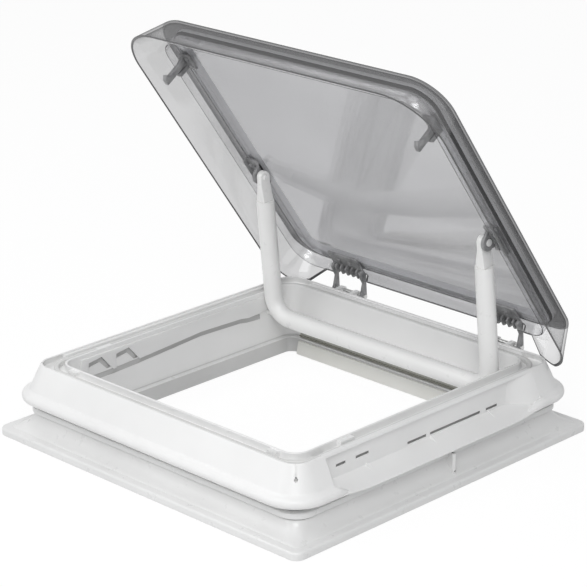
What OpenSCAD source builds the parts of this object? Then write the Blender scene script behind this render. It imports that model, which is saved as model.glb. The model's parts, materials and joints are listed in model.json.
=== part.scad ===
// Caravan roof vent with a tinted double-skin lid propped open by a bail
// Millimetres, +Z up, origin on the roof at the centre of the opening
// X runs along the hinge, +Y from the front edge to the hinge edge

/* [Opening] */
// Clear opening between the inner walls of the upper frame
opening_w = 372; // [350:1:400]
// Corner radius of the clear opening
opening_corner_r = 16; // [10:1:24]

/* [Upper frame] */
// Height of the rim above the roof
frame_h = 87; // [82:1:100]
// Wall thickness of the two frames
wall = 3; // [2:0.25:3.5]
// Width of the rim from the opening to its outer edge
rim_w = 23; // [21:0.5:27]
// Corner radius of the outer edge of the rim
rim_corner_r = 21; // [16:1:26]
// Depth of the gutter in the rim
gutter_depth = 9; // [7:0.5:11]
// How far the outer wall leans out from the rim to the lip
skirt_run = 15; // [10:0.5:18]
// Radius of the rounded lip at the foot of the outer wall
lip_r = 6; // [4:0.5:7]
// Height of the middle of the lip above the roof
lip_z = 50; // [47:1:53]
// Length of full outer wall left beside each corner on the two sides
side_land = 21; // [16:1:32]
// Length of full outer wall left beside each corner on the rear
rear_land = 12; // [8:1:18]
// Step from the edge of the rim back to the recess wall
recess_depth = 4; // [3:0.5:4.5]
// Height of one vent slot
vent_slot_h = 1.5; // [1:0.25:3]
// Diameter of the frame screws
screw_d = 4; // [3:0.5:5]

/* [Base frame] */
// Height of the ledge that the upper frame stands on
ledge_z = 20; // [17:1:22]
// Radius of the cove between the flange and the neck
cove_r = 22; // [18:1:24]
// Width of the flat land outside the cove
land_w = 5; // [3:0.5:10]
// Height of the edge of the flange
edge_h = 9; // [8:0.5:11]
// Corner radius of the neck above the cove
neck_corner_r = 20; // [16:1:26]
// Corner radius of the flange
flange_corner_r = 12; // [6:1:30]
// Step from the opening in to the collar
collar_step = 5; // [3:0.5:8]
// Radius of the drain spouts on the two sides
spout_r = 2.5; // [2:0.5:3]
// Distance of the drain spouts outside the neck
spout_out = 11.5; // [9:0.5:13]
// Distance of the drain spouts behind the middle
spout_y = 21; // [-60:1:60]
// Thickness of the seal between flange and roof
roof_seal_t = 2.5; // [1.5:0.5:3.5]
// Distance of the ceiling frame screws outside the collar
clamp_off = 8; // [6:0.5:12]
// Diameter of the pilot holes for the ceiling frame screws
clamp_hole_d = 3.5; // [2.5:0.5:4.5]

/* [Lid] */
// Opening angle of the lid in the fully open position
open_angle = 54.5; // [45:0.5:58]
// Overhang of the lid past the rim at the two sides
lid_over_side = 27; // [24:0.5:30]
// Overhang of the lid past the rim at the front
lid_over_front = 23; // [21:0.5:28]
// Overhang of the lid past the rim at the rear
lid_over_rear = 17; // [15:0.5:20]
// Height of the outer dome from its rim to its top
dome_h = 47; // [44:0.5:52]
// Thickness of the outer dome
dome_t = 3; // [2:0.25:4]
// How far the sides of the dome lean in
dome_draft = 16.5; // [14:0.5:17]
// Radius of the shoulder between the sides and the top of the dome
dome_round = 12; // [8:0.5:16]
// Corner radius of the rim of the dome at the front
dome_front_r = 64; // [50:1:68]
// Corner radius of the rim of the dome at the rear
dome_rear_r = 48; // [42:1:56]
// Height of the cutout in the rear side of the dome
dome_cut_h = 33; // [32:0.5:34]
// Thickness of the inner pan
pan_t = 2.5; // [2:0.25:3]
// Depth of the side wall of the inner pan
pan_wall_h = 16.5; // [14:0.5:18]
// Height of the spacer between dome and pan
spacer_h = 8; // [6:0.5:10]
// Width of the spacer
spacer_w = 14; // [10:1:16]

/* [Hinge] */
// Distance of the hinge pins behind the edge of the rim
hinge_back = 17; // [16:0.5:20]
// Distance of the hinge pins below the top of the rim
hinge_drop = 7; // [5:0.5:9]
// Diameter of the hinge pins
hinge_pin_d = 6; // [5:0.5:7]
// Distance of each hinge from the middle
hinge_x = 124; // [90:1:128]
// Width of one hinge hook
hook_w = 50; // [44:1:58]

/* [Bail] */
// Diameter of the bail
bail_d = 22; // [18:0.5:24]
// Gap between the bail and the walls of the opening
bail_gap = 3; // [2.5:0.25:5]
// Bend radius at the middle of the bail
bail_bend_r = 26; // [20:1:34]
// Length of the bail legs from pivot to crossbar
bail_leg = 182; // [170:1:186]
// Lean of the open bail from the vertical
bail_lean = 6; // [2:0.5:8]
// Dip of the stowed bail below the horizontal
bail_dip = 6.5; // [5.5:0.5:9]
// Distance of the bail pivots behind the middle of the opening
pivot_y = 36; // [30:1:42]
// Diameter of the pivot pins
pivot_pin_d = 6; // [4:0.5:7]
// Diameter of the guide pins at the ends of the crossbar
guide_pin_d = 5; // [4:0.5:6]

/* [Hidden] */
$fn = 64;

// Clearances
run_fit = 0.06;
seat_fit = 0.02;
gap = 0.3;

// Plan half sizes, from the opening outwards
open_h = opening_w / 2;
rim_h = open_h + rim_w;
foot_h = rim_h + skirt_run;
outer_axis = rim_h - rim_corner_r;
lip_h = foot_h + lip_r / 3;
neck_clear = 4;
neck_h = rim_h + neck_clear;
cove_h = neck_h + cove_r;
flange_h = cove_h + land_w;
collar_h = open_h - collar_step;
collar_r = opening_corner_r - collar_step;

// Heights of the two frames
rim_z = frame_h;
gutter_z = rim_z - gutter_depth;
lip_top = lip_z + lip_r;
lip_low = lip_z - lip_r;
seal_t = 1.5;
inner_z = ledge_z + seal_t;
skirt_z = ledge_z + 2;

// Lean of the outer wall at the gutter floor
lean = skirt_run / (rim_z - lip_top);
floor_h = rim_h + gutter_depth * lean - wall / 2;

// Recesses
side_half = outer_axis - side_land;
rear_half = outer_axis - rear_land;
recess_h = rim_h - recess_depth;
rim_edge = 4;
shelf_z = lip_z + 4;

// Base
base_axis = neck_h - neck_corner_r;
cove_z = edge_h + cove_r;
bead_z = cove_z - 1;
bead_h = 6;
bead_out = 4;
web_h = cove_h - sqrt(pow(cove_r + wall / 2, 2) - pow(cove_z - ledge_z, 2));
seal_in = neck_h + 4;
clamp_h = collar_h + wall + clamp_off;
boss_r = 5;
boss_h = open_h + rim_w / 2;
boss_at = 0.54 * open_h;
spout_x = neck_h + spout_out;
spout_top = bead_z + bead_h - 1;
screw_r = screw_d / 2;
screw_l = 0.3 * (gutter_z - ledge_z);

// Lid, closed
pan_sink = 1.5;
pan_h = rim_h - 9;
ring_z = rim_z - pan_sink;
pan_top = ring_z + pan_wall_h;
face_z = pan_top - pan_t;
dome_in = pan_top + spacer_h;
dome_top = dome_in + dome_t;
dome_z = dome_top - dome_h;
pan_corner_r = 30;
dome_x = rim_h + lid_over_side;
dome_front = rim_h + lid_over_front;
dome_rear = rim_h + lid_over_rear;
dome_lean = atan(dome_draft / (dome_h - dome_round));
dome_flat = dome_draft + dome_round * cos(dome_lean);
plate_t = 3;
foot_z = face_z - plate_t;

// Lid seal
seal_mid = pan_h - pan_t / 2;
seal_half = min(3.2, recess_h - wall - 0.1 - seal_mid);
seal_axis = pan_h - pan_corner_r;
seal_top = ring_z - gap;

// Hinge
hinge_y = rim_h + hinge_back;
hinge_z = rim_z - hinge_drop;
hinge_r = hinge_pin_d / 2;
eye_r = hinge_r + 3;
leg_w = 7;
hook_y0 = pan_h - 8;

// Latch hooks
latch_y = -open_h + 31;
latch_x0 = open_h + wall + 0.6;
latch_x1 = seal_mid - seal_half - 0.4;

// Bail
bail_r = bail_d / 2;
bail_x = open_h - bail_gap - bail_r;
pivot_drop = 8.5;
pivot_z = face_z - pivot_drop;
pivot_r = pivot_pin_d / 2;
end_r = pivot_drop - 1;
end_w = 8;
cap_l = (bail_r * cos(bail_dip) - pivot_drop + 1) / sin(bail_dip);
spigot_r = 5;
spigot_l = 12;
guide_r = guide_pin_d / 2;
guide_x = open_h - gap;
guide_in = bail_x - 20;
bracket_x = bail_x + end_w / 2 + 0.7;
bracket_t = 4;
ear_r = pivot_r + 7;
rail_t = 2.4;

// Where the pivot is with the lid open, and the two ends of the guide pin path
arm_y = pivot_y - hinge_y;
arm_z = pivot_z - hinge_z;
open_y = hinge_y + arm_y * cos(open_angle) + arm_z * sin(open_angle);
open_z = hinge_z - arm_y * sin(open_angle) + arm_z * cos(open_angle);
seat_y = open_y + bail_leg * sin(bail_lean);
seat_z = open_z - bail_leg * cos(bail_lean);
catch_y = pivot_y - bail_leg * cos(bail_dip);
catch_z = pivot_z - bail_leg * sin(bail_dip);

// Bracket screws, as x, y pairs on the closed lid
latch_sx = open_h - 3;
bracket_sx = open_h + 5;
hook_sy = hook_y0 - 6;
screw_spots = [[hinge_x - 9, hook_sy], [hinge_x + 9, hook_sy],
    [bracket_sx, pivot_y - 10], [bracket_sx, pivot_y + 10],
    [latch_sx, latch_y - 6], [latch_sx, latch_y + 6]];
small_r = 1.5;
small_head_r = 2.8;

// Rounded rectangle about the origin
module slab(hx, hy, r) {
    square([2 * (hx - r), 2 * hy], center = true);
    square([2 * hx, 2 * (hy - r)], center = true);
    for (x = [-1, 1], y = [-1, 1])
        translate([x * (hx - r), y * (hy - r)]) circle(r);
}

// Flat ring between two rounded squares
module band(outer, outer_r, inner, inner_r, z0, z1) {
    translate([0, 0, z0]) linear_extrude(z1 - z0) difference() {
        slab(outer, outer, outer_r);
        slab(inner, inner, inner_r);
    }
}

// Section drawn as distance from the corner axis and height, run round a rounded rectangle
module run_round(ax, ay) {
    for (s = [0, 180]) rotate([0, 0, s]) {
        translate([ax, 0, 0]) rotate([90, 0, 0]) linear_extrude(2 * ay, center = true) children();
        translate([0, ay, 0]) rotate([90, 0, 90]) linear_extrude(2 * ax, center = true) children();
        translate([ax, ay, 0]) rotate_extrude(angle = 90) children();
        translate([-ax, ay, 0]) rotate([0, 0, 90]) rotate_extrude(angle = 90) children();
    }
}

// Section drawn as y and z, given a thickness along x
module along_x(x0, x1) {
    translate([x0, 0, 0]) rotate([90, 0, 90]) linear_extrude(x1 - x0) children();
}

// Section drawn as x and z, given a thickness along y
module along_y(y0, y1) {
    translate([0, y1, 0]) rotate([90, 0, 0]) linear_extrude(y1 - y0) children();
}

// Rod along x
module rod(x0, x1, r) {
    translate([x0, 0, 0]) rotate([0, 90, 0]) cylinder(r = r, h = x1 - x0);
}

// The same thing on the left and on the right
module both_sides() {
    children();
    mirror([1, 0, 0]) children();
}

// From the closed lid to the open lid
module on_lid() {
    translate([0, hinge_y, hinge_z]) rotate([-open_angle, 0, 0])
        translate([0, -hinge_y, -hinge_z]) children();
}

// From a bail that hangs straight down from its pivots to the open bail
module on_bail() {
    translate([0, open_y, open_z]) rotate([bail_lean, 0, 0]) children();
}

// The places of the frame screws
module screw_places() {
    for (a = [0, 90, 180, 270], t = [-boss_at, boss_at])
        rotate([0, 0, a]) translate([boss_h, t, 0]) children();
}

module base_section() {
    intersection() {
        translate([cove_h - base_axis, cove_z]) difference() {
            circle(cove_r + wall);
            circle(cove_r);
        }
        translate([0, edge_h - wall]) square([cove_h - base_axis, cove_r + wall]);
    }
    translate([neck_corner_r - wall, bead_z]) square([wall + bead_out, bead_h]);
}

// A drain spout with the web that ties it to the neck and the cove
module spout() {
    reach = 0.28 * cove_r;
    translate([spout_x, spout_y, edge_h]) cylinder(r = spout_r, h = spout_top - edge_h);
    along_y(spout_y - 1, spout_y + 1) polygon([[neck_h - 1, spout_top], [spout_x, spout_top],
        [spout_x, edge_h], [neck_h + reach, edge_h + reach], [neck_h - 1, bead_z]]);
}

module base_frame() {
    color("whitesmoke") difference() {
        union() {
            run_round(base_axis, base_axis) base_section();
            band(flange_h, flange_corner_r, cove_h, cove_h - base_axis, edge_h - wall, edge_h);
            band(flange_h, flange_corner_r, seal_in, seal_in - base_axis, roof_seal_t, edge_h - wall);
            band(flange_h, flange_corner_r, flange_h - wall, flange_corner_r - wall, 0, roof_seal_t);
            band(web_h, web_h - base_axis, collar_h, collar_r, ledge_z - wall, ledge_z);
            band(collar_h + wall, collar_r + wall, collar_h, collar_r, 0, ledge_z - wall);
            for (x = [-clamp_h, clamp_h], y = [-clamp_h, clamp_h])
                translate([x, y, roof_seal_t]) cylinder(r = boss_r, h = ledge_z - wall - roof_seal_t);
            both_sides() spout();
        }
        for (x = [-clamp_h, clamp_h], y = [-clamp_h, clamp_h])
            translate([x, y, 0]) cylinder(d = clamp_hole_d, h = ledge_z - wall - 2);
        screw_places() translate([0, 0, ledge_z - wall - 1]) cylinder(r = screw_r + 0.2, h = wall + 2);
    }
}

module roof_seal() {
    color("dimgray") band(flange_h - wall - gap, flange_corner_r - wall, seal_in, seal_in - base_axis,
        0, roof_seal_t);
}

module frame_section() {
    r0 = rim_corner_r;
    r1 = r0 + skirt_run;
    r2 = r1 + lip_r / 3;
    polygon([[r0 - wall, rim_z], [r0, rim_z], [r1, lip_top], [r2, lip_top], [r2, lip_low],
        [r1 - wall, lip_low], [r1 - wall, lip_top]]);
    translate([r2, lip_z]) circle(lip_r);
    translate([r0 - wall, lip_low]) square([skirt_run + wall, wall]);
    translate([r0 - wall, skirt_z]) square([wall, lip_low + 1 - skirt_z]);
}

// What is taken out of one side of the outer wall, from the middle outwards
module recess_cut(half) {
    along_y(-half, half) polygon([[recess_h, rim_z - rim_edge], [lip_h + 20, rim_z - rim_edge],
        [lip_h + 20, lip_z - 1], [lip_h + lip_r - 1, lip_z - 1], [recess_h, shelf_z]]);
}

// The wall, the shelf and the two ends of one recess
module recess_wall(half) {
    along_y(-half - 1, half + 1) {
        translate([recess_h - wall, lip_low + wall / 2]) square([wall, rim_z - lip_low - wall]);
        translate([recess_h - wall, rim_z - rim_edge]) square([wall + recess_depth, rim_edge - 1.5]);
        polygon([[recess_h - wall, shelf_z - wall], [recess_h, shelf_z], [lip_h + 2, lip_z - 0.4],
            [lip_h + 2, lip_z - wall - 0.4]]);
    }
    for (s = [-1, 1]) translate([0, s * (half + wall / 2), 0]) along_y(-wall / 2, wall / 2)
        polygon([[recess_h - wall, lip_low + 1], [lip_h, lip_low + 1], [foot_h - 1, lip_top],
            [rim_h - 1, rim_z - 1], [recess_h - wall, rim_z - 1]]);
}

// Ribs on the shelf and gussets under the lip
module side_ribs() {
    for (y = [-0.59, 0.025, 0.61] * side_half) {
        translate([0, y, 0]) along_y(-1, 1) polygon([[recess_h - 1, shelf_z - 1],
            [recess_h - 1, shelf_z + 4], [foot_h, lip_z + 1.5], [foot_h, lip_z - 1.5]]);
        translate([0, y - 12, 0]) along_y(-1.5, 1.5) polygon([[rim_h - 1, lip_low + 1],
            [lip_h, lip_low + 1], [rim_h - 1, lip_low - 5]]);
    }
}

module hinge_lugs() {
    for (x = [-12, 12]) along_x(hinge_x + x - 3, hinge_x + x + 3) {
        translate([hinge_y, hinge_z]) circle(eye_r);
        polygon([[recess_h - 1, lip_top + 6], [recess_h - 1, rim_z - rim_edge],
            [hinge_y, hinge_z + eye_r], [hinge_y + eye_r * 0.8, hinge_z - eye_r * 0.6]]);
    }
}

module vent_slots() {
    for (s = [[-0.87, -0.785, 18.5], [-0.69, -0.57, 18.5], [-0.155, -0.02, 9], [0.02, 0.52, 9],
        [0.58, 0.695, 9]])
        translate([recess_h - wall - 1, s[0] * side_half, lip_z + s[2]])
            cube([wall + 2, (s[1] - s[0]) * side_half, vent_slot_h]);
}

module upper_frame() {
    color("white") difference() {
        union() {
            difference() {
                run_round(outer_axis, outer_axis) frame_section();
                both_sides() recess_cut(side_half);
                rotate([0, 0, 90]) recess_cut(rear_half);
            }
            both_sides() {
                recess_wall(side_half);
                side_ribs();
                hinge_lugs();
            }
            rotate([0, 0, 90]) recess_wall(rear_half);
            band(floor_h, floor_h - outer_axis, open_h + wall / 2, opening_corner_r + wall / 2,
                gutter_z - wall, gutter_z);
            band(open_h + wall, opening_corner_r + wall, open_h, opening_corner_r, inner_z, rim_z);
            screw_places() translate([0, 0, ledge_z]) cylinder(r = boss_r, h = gutter_z - 1 - ledge_z);
        }
        both_sides() {
            vent_slots();
            translate([hinge_x - hook_w, hinge_y, hinge_z]) rod(0, 2 * hook_w, hinge_r + seat_fit);
            translate([open_h + wall + 0.2, latch_y - 13, gutter_z - wall - 1])
                cube([latch_x1 - latch_x0 + 0.7, 20, wall + 2]);
        }
        screw_places() translate([0, 0, ledge_z - 1]) cylinder(r = screw_r + seat_fit, h = screw_l + wall);
        for (a = [45, 135, 225, 315]) rotate([0, 0, a])
            translate([outer_axis * sqrt(2) + rim_corner_r - 8, -1.2, gutter_z + 0.5]) cube([20, 2.4, 6]);
    }
}

module frame_screws() {
    color("silver") screw_places() {
        translate([0, 0, ledge_z - wall - 2.5]) cylinder(r = screw_r + 2, h = 2.5);
        translate([0, 0, ledge_z - wall]) cylinder(r = screw_r, h = wall + screw_l);
    }
}

module ledge_seal() {
    color("lightgray") band(open_h + wall + 1, opening_corner_r + wall + 1, open_h + 0.5,
        opening_corner_r + 0.5, ledge_z, inner_z);
}

module rear_seal() {
    half = open_h - opening_corner_r - 2;
    color("dimgray") along_x(-half, half) {
        translate([open_h - 2.2, ledge_z]) square([2.2, 0.27 * ledge_z]);
        translate([open_h - 2.4, ledge_z + 2.2]) circle(2.2);
    }
}

module rear_strip() {
    half = open_h - opening_corner_r - 4;
    color("gainsboro") along_x(-half, half)
        polygon([[collar_h, 0.5], [collar_h - 6, 0.5], [collar_h - 6, 4], [collar_h - 3, ledge_z - wall],
            [collar_h, ledge_z - wall]]);
}

module lid_seal() {
    r = seal_mid - seal_axis;
    color("lightgray") run_round(seal_axis, seal_axis) {
        translate([r - seal_half, gutter_z]) square([2 * seal_half, seal_top - gutter_z - seal_half]);
        translate([r, seal_top - seal_half]) circle(seal_half);
    }
}

module rail() {
    y0 = catch_y - 14;
    y1 = seat_y + 12;
    low = catch_z - 13;
    edge = [for (e = [[0.27, 2], [0.44, 4.5], [0.61, 6], [0.8, 6.5], [0.88, 4]])
        [catch_y + e[0] * (seat_y - catch_y), low + e[1]]];
    color("whitesmoke") along_x(open_h - rail_t, open_h) difference() {
        polygon(concat([[y0, rim_z - 5], [y0, low - 1], [catch_y + 10, low]], edge,
            [[seat_y - 12, seat_z + guide_r], [seat_y - 2, seat_z + guide_r + 2],
            [seat_y + 8, seat_z + guide_r + 2], [seat_y + 8, seat_z - 5], [y1, seat_z - 5],
            [y1, rim_z - 5]]));
        for (y = [0, 40]) translate([catch_y + y, catch_z])
            polygon([[-5, guide_r + 1.5], [5, guide_r + 1.5], [14, -7], [24, -15], [24, -25], [-5, -25]]);
    }
}

module guide_rail_left() { mirror([1, 0, 0]) rail(); }
module guide_rail_right() { rail(); }

module hinge_pin() {
    color("silver") translate([hinge_x - hook_w / 2 - 2, hinge_y, hinge_z]) rod(0, hook_w + 4, hinge_r);
}

module hinge_pin_left() { mirror([1, 0, 0]) hinge_pin(); }
module hinge_pin_right() { hinge_pin(); }

// Section of the dome, drawn as distance outside its rim line and height
module dome_section() {
    arc = [for (i = [0:6]) dome_lean + i * (90 - dome_lean) / 6];
    r = dome_round - dome_t;
    outer = [for (a = arc) [dome_round * cos(a) - dome_flat, dome_top - dome_round + dome_round * sin(a)]];
    inner = [for (i = [6:-1:0]) [r * cos(arc[i]) - dome_flat, dome_top - dome_round + r * sin(arc[i])]];
    polygon(concat([[0, dome_z]], outer, [[-dome_flat - 3, dome_top], [-dome_flat - 3, dome_in]],
        inner, [[-dome_t / cos(dome_lean), dome_z]]));
}

// The dome section along one side, out to a given distance from the middle
module dome_side(out, low, high) {
    translate([out, 0, 0]) along_y(low, high) dome_section();
}

module dome_corner(x, y, r, a) {
    translate([x, y, 0]) rotate([0, 0, a]) rotate_extrude(angle = 90) translate([r, 0]) dome_section();
}

// Flat plan of the dome, drawn in from its rim line
module dome_plan(inset) {
    fx = dome_x - dome_front_r;
    rx = dome_x - dome_rear_r;
    fy = dome_front - dome_front_r;
    ry = dome_rear - dome_rear_r;
    translate([inset - dome_x, -fy]) square([2 * (dome_x - inset), fy + ry]);
    translate([-fx, inset - dome_front]) square([2 * fx, dome_front - inset]);
    translate([-rx, 0]) square([2 * rx, dome_rear - inset]);
    for (x = [-1, 1]) {
        translate([x * fx, -fy]) circle(dome_front_r - inset);
        translate([x * rx, ry]) circle(dome_rear_r - inset);
    }
}

module outer_dome() {
    fx = dome_x - dome_front_r;
    rx = dome_x - dome_rear_r;
    fy = dome_front - dome_front_r;
    ry = dome_rear - dome_rear_r;
    color([0.5, 0.52, 0.55, 0.55]) on_lid() difference() {
        union() {
            both_sides() {
                dome_side(dome_x, -fy, ry);
                dome_corner(fx, -fy, dome_front_r, 270);
                dome_corner(rx, ry, dome_rear_r, 0);
            }
            rotate([0, 0, 270]) dome_side(dome_front, -fx, fx);
            rotate([0, 0, 90]) dome_side(dome_rear, -rx, rx);
            translate([0, 0, dome_in]) linear_extrude(dome_t) dome_plan(dome_flat + 2);
        }
        translate([0, 0, dome_z]) along_y(rim_h - 12, dome_rear + 10) polygon([[24 - dome_x, -1],
            [dome_x - 24, -1], [dome_x - 52, dome_cut_h / 3], [dome_x - 72, dome_cut_h],
            [72 - dome_x, dome_cut_h], [52 - dome_x, dome_cut_h / 3]]);
    }
}

module inner_pan() {
    color([0.55, 0.57, 0.6, 0.5]) on_lid() difference() {
        union() {
            band(pan_h, pan_corner_r, pan_h - pan_t, pan_corner_r - pan_t, ring_z, pan_top);
            translate([0, 0, face_z]) linear_extrude(pan_t)
                slab(pan_h - pan_t / 2, pan_h - pan_t / 2, pan_corner_r - pan_t / 2);
        }
        both_sides() {
            translate([hinge_x - hook_w / 2 - 2, pan_h - pan_t - 1, ring_z - 1])
                cube([hook_w + 4, pan_t + 2, face_z - ring_z + 1]);
            for (s = screw_spots) translate([s[0], s[1], face_z - 1])
                cylinder(r = small_r + 0.05, h = pan_t + 2);
        }
    }
}

module pane_spacer() {
    color("black") on_lid() band(pan_h - 1, pan_corner_r - 1, pan_h - 1 - spacer_w,
        pan_corner_r - 1 - spacer_w, pan_top, dome_in);
}

// One leg of a hinge hook, drawn as y and z
module hook_leg() {
    difference() {
        union() {
            polygon([[hook_y0, face_z], [rim_h - 6, face_z], [rim_h + 1, face_z - 4.5],
                [hinge_y + eye_r * 0.55, hinge_z + eye_r * 0.75],
                [hinge_y - eye_r * 0.75, hinge_z - eye_r * 0.55],
                [rim_h + 0.5, rim_z + 2.3], [rim_h - 9, rim_z + 3], [hook_y0, rim_z + 3]]);
            translate([hinge_y, hinge_z]) circle(eye_r);
        }
        translate([hinge_y, hinge_z]) circle(hinge_r + run_fit);
    }
}

module hinge_hook() {
    color("slategray") on_lid() difference() {
        union() {
            for (x = [-hook_w / 2, hook_w / 2 - leg_w])
                along_x(hinge_x + x, hinge_x + x + leg_w) hook_leg();
            translate([hinge_x - hook_w / 2 + 1, hook_y0 - 11, foot_z]) cube([hook_w - 2, 13, plate_t]);
            translate([hinge_x - hook_w / 2 + 1, hook_y0, rim_z + 5])
                cube([hook_w - 2, 2.5, face_z - rim_z - 5]);
            for (x = [-0.28, -0.094, 0.094, 0.28] * hook_w) along_x(hinge_x + x - 1.5, hinge_x + x + 1.5)
                polygon([[hook_y0, face_z], [hook_y0 + 8, face_z], [hook_y0 + 8, rim_z + 8],
                    [hook_y0 + 5, rim_z + 3], [hook_y0, rim_z + 3]]);
        }
        for (s = [screw_spots[0], screw_spots[1]])
            translate([s[0], s[1], foot_z - 1]) cylinder(r = small_r + 0.05, h = plate_t + 2);
    }
}

module hinge_hook_left() { mirror([1, 0, 0]) hinge_hook(); }
module hinge_hook_right() { hinge_hook(); }

module bail_bracket() {
    color("slategray") on_lid() difference() {
        union() {
            along_x(bracket_x, bracket_x + bracket_t) {
                intersection() {
                    translate([pivot_y, pivot_z]) circle(ear_r);
                    translate([pivot_y - ear_r, pivot_z - ear_r]) square([2 * ear_r, ear_r]);
                }
                polygon([[pivot_y - ear_r - 4, face_z], [pivot_y + ear_r + 4, face_z],
                    [pivot_y + ear_r, pivot_z], [pivot_y - ear_r, pivot_z]]);
            }
            translate([bracket_x, pivot_y - 2 * ear_r, foot_z])
                cube([bracket_sx + small_head_r + 1.7 - bracket_x, 4 * ear_r, plate_t]);
        }
        translate([bracket_x - 1, pivot_y, pivot_z]) rod(0, bracket_t + 2, pivot_r + seat_fit);
        for (s = [screw_spots[2], screw_spots[3]])
            translate([s[0], s[1], foot_z - 1]) cylinder(r = small_r + 0.05, h = plate_t + 2);
    }
}

module bail_bracket_left() { mirror([1, 0, 0]) bail_bracket(); }
module bail_bracket_right() { bail_bracket(); }

module latch_hook() {
    low = ring_z - 24.5;
    top = foot_z - 8;
    color("slategray") on_lid() difference() {
        union() {
            along_x(latch_x0, latch_x1) polygon([[latch_y + 6, face_z], [latch_y - 8, face_z],
                [latch_y - 4, top], [latch_y - 4, low + 9], [latch_y - 9, low + 4], [latch_y - 4, low],
                [latch_y + 3, low], [latch_y + 3, top]]);
            along_x(latch_x0, latch_x1) polygon([[latch_y + 5, face_z], [latch_y + 11, face_z],
                [latch_y + 10.5, gutter_z + 4.5], [latch_y + 8, gutter_z + 1.5], [latch_y + 5, gutter_z + 3.5]]);
            translate([latch_sx - 5, latch_y - 11, foot_z]) cube([latch_x1 - latch_sx + 5, 22, plate_t]);
        }
        for (s = [screw_spots[4], screw_spots[5]])
            translate([s[0], s[1], foot_z - 1]) cylinder(r = small_r + 0.05, h = plate_t + 2);
    }
}

module latch_hook_left() { mirror([1, 0, 0]) latch_hook(); }
module latch_hook_right() { latch_hook(); }

module bracket_screws() {
    color("silver") on_lid() both_sides() for (s = screw_spots) {
        translate([s[0], s[1], foot_z - 2]) cylinder(r = small_head_r, h = 2);
        translate([s[0], s[1], foot_z]) cylinder(r = small_r, h = plate_t + pan_t - 0.2);
    }
}

module pivot_pin() {
    color("white") on_lid() translate([bail_x - end_w / 2 - 2, pivot_y, pivot_z])
        rod(0, bracket_x + bracket_t + 0.4 - bail_x + end_w / 2 + 2, pivot_r);
}

module pivot_pin_left() { mirror([1, 0, 0]) pivot_pin(); }
module pivot_pin_right() { pivot_pin(); }

module bail() {
    bx = bail_x - bail_bend_r;
    bz = -bail_leg + bail_bend_r;
    color("white") on_bail() difference() {
        union() {
            translate([0, 0, -bail_leg]) rod(-bx, bx, bail_r);
            both_sides() {
                translate([bail_x, 0, bz]) cylinder(r = bail_r, h = -bz - cap_l);
                translate([bx, 0, bz]) rotate([-90, 0, 0]) rotate_extrude(angle = 90)
                    translate([bail_bend_r, 0]) circle(bail_r);
            }
        }
        both_sides() {
            translate([bail_x, 0, -cap_l - spigot_l - 1])
                cylinder(r = spigot_r + seat_fit, h = spigot_l + 2);
            translate([guide_in, 0, -bail_leg]) rod(0, 40, guide_r + seat_fit);
        }
    }
}

module bail_end() {
    color("whitesmoke") on_bail() difference() {
        union() {
            along_x(bail_x - end_w / 2, bail_x + end_w / 2) {
                circle(end_r);
                translate([-end_r, -cap_l]) square([2 * end_r, cap_l]);
            }
            translate([bail_x, 0, -cap_l - spigot_l]) cylinder(r = spigot_r, h = spigot_l + 1);
        }
        translate([bail_x - end_w, 0, 0]) rod(0, 2 * end_w, pivot_r + run_fit);
    }
}

module bail_end_left() { mirror([1, 0, 0]) bail_end(); }
module bail_end_right() { bail_end(); }

module guide_pin() {
    color("whitesmoke") on_bail() translate([guide_in, 0, -bail_leg]) rod(0, guide_x - guide_in, guide_r);
}

module guide_pin_left() { mirror([1, 0, 0]) guide_pin(); }
module guide_pin_right() { guide_pin(); }

base_frame();
roof_seal();
upper_frame();
frame_screws();
ledge_seal();
rear_seal();
rear_strip();
lid_seal();
guide_rail_left();
guide_rail_right();
hinge_pin_left();
hinge_pin_right();
outer_dome();
inner_pan();
pane_spacer();
hinge_hook_left();
hinge_hook_right();
bail_bracket_left();
bail_bracket_right();
latch_hook_left();
latch_hook_right();
bracket_screws();
pivot_pin_left();
pivot_pin_right();
bail();
bail_end_left();
bail_end_right();
guide_pin_left();
guide_pin_right();
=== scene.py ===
import json
import math

import bmesh
import bpy
from mathutils import Matrix, Vector


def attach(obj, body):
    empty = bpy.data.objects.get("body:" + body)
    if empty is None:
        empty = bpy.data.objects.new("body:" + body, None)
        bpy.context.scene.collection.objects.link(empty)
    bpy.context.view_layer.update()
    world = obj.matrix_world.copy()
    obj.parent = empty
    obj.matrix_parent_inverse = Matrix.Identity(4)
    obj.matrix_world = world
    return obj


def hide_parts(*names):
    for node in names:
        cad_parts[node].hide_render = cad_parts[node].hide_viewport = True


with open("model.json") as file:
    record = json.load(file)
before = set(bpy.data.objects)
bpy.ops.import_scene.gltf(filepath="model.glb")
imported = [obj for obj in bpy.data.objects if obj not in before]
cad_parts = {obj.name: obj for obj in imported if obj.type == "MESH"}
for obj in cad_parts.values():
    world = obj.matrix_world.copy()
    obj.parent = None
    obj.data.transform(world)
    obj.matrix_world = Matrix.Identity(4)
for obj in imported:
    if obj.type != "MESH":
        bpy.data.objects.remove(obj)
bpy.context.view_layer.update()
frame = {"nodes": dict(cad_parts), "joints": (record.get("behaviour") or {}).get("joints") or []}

# Sizes are in millimetres, as in the part's source, and turn to metres as points are made
MM = 0.001
# Reach of added forms into what carries them, of cutters past what they cut, and of runs past a seam
ROOT, CLEAR, SEAM = 1.0, 1.0, 0.5
# Roundings of edges, and the turns of a surface that count as an edge, in degrees
FINE_ROUND, CLIP_ROUND, SOFT_ROUND, CAP_ROUND = 0.3, 0.4, 0.5, 1.0
SHARP, SHELL_SHARP, BEVEL_FROM = 32.0, 50.0, 40.0
# Steps of a corner in plan, a fillet, the end of a recess, its run, and the cylinders
CORNER_STEPS, FILLET_STEPS, END_STEPS, RUN_STEPS = 14, 4, 12, 24
ROUND_STEPS, SMALL_STEPS, TINY_STEPS = 24, 16, 12
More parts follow.
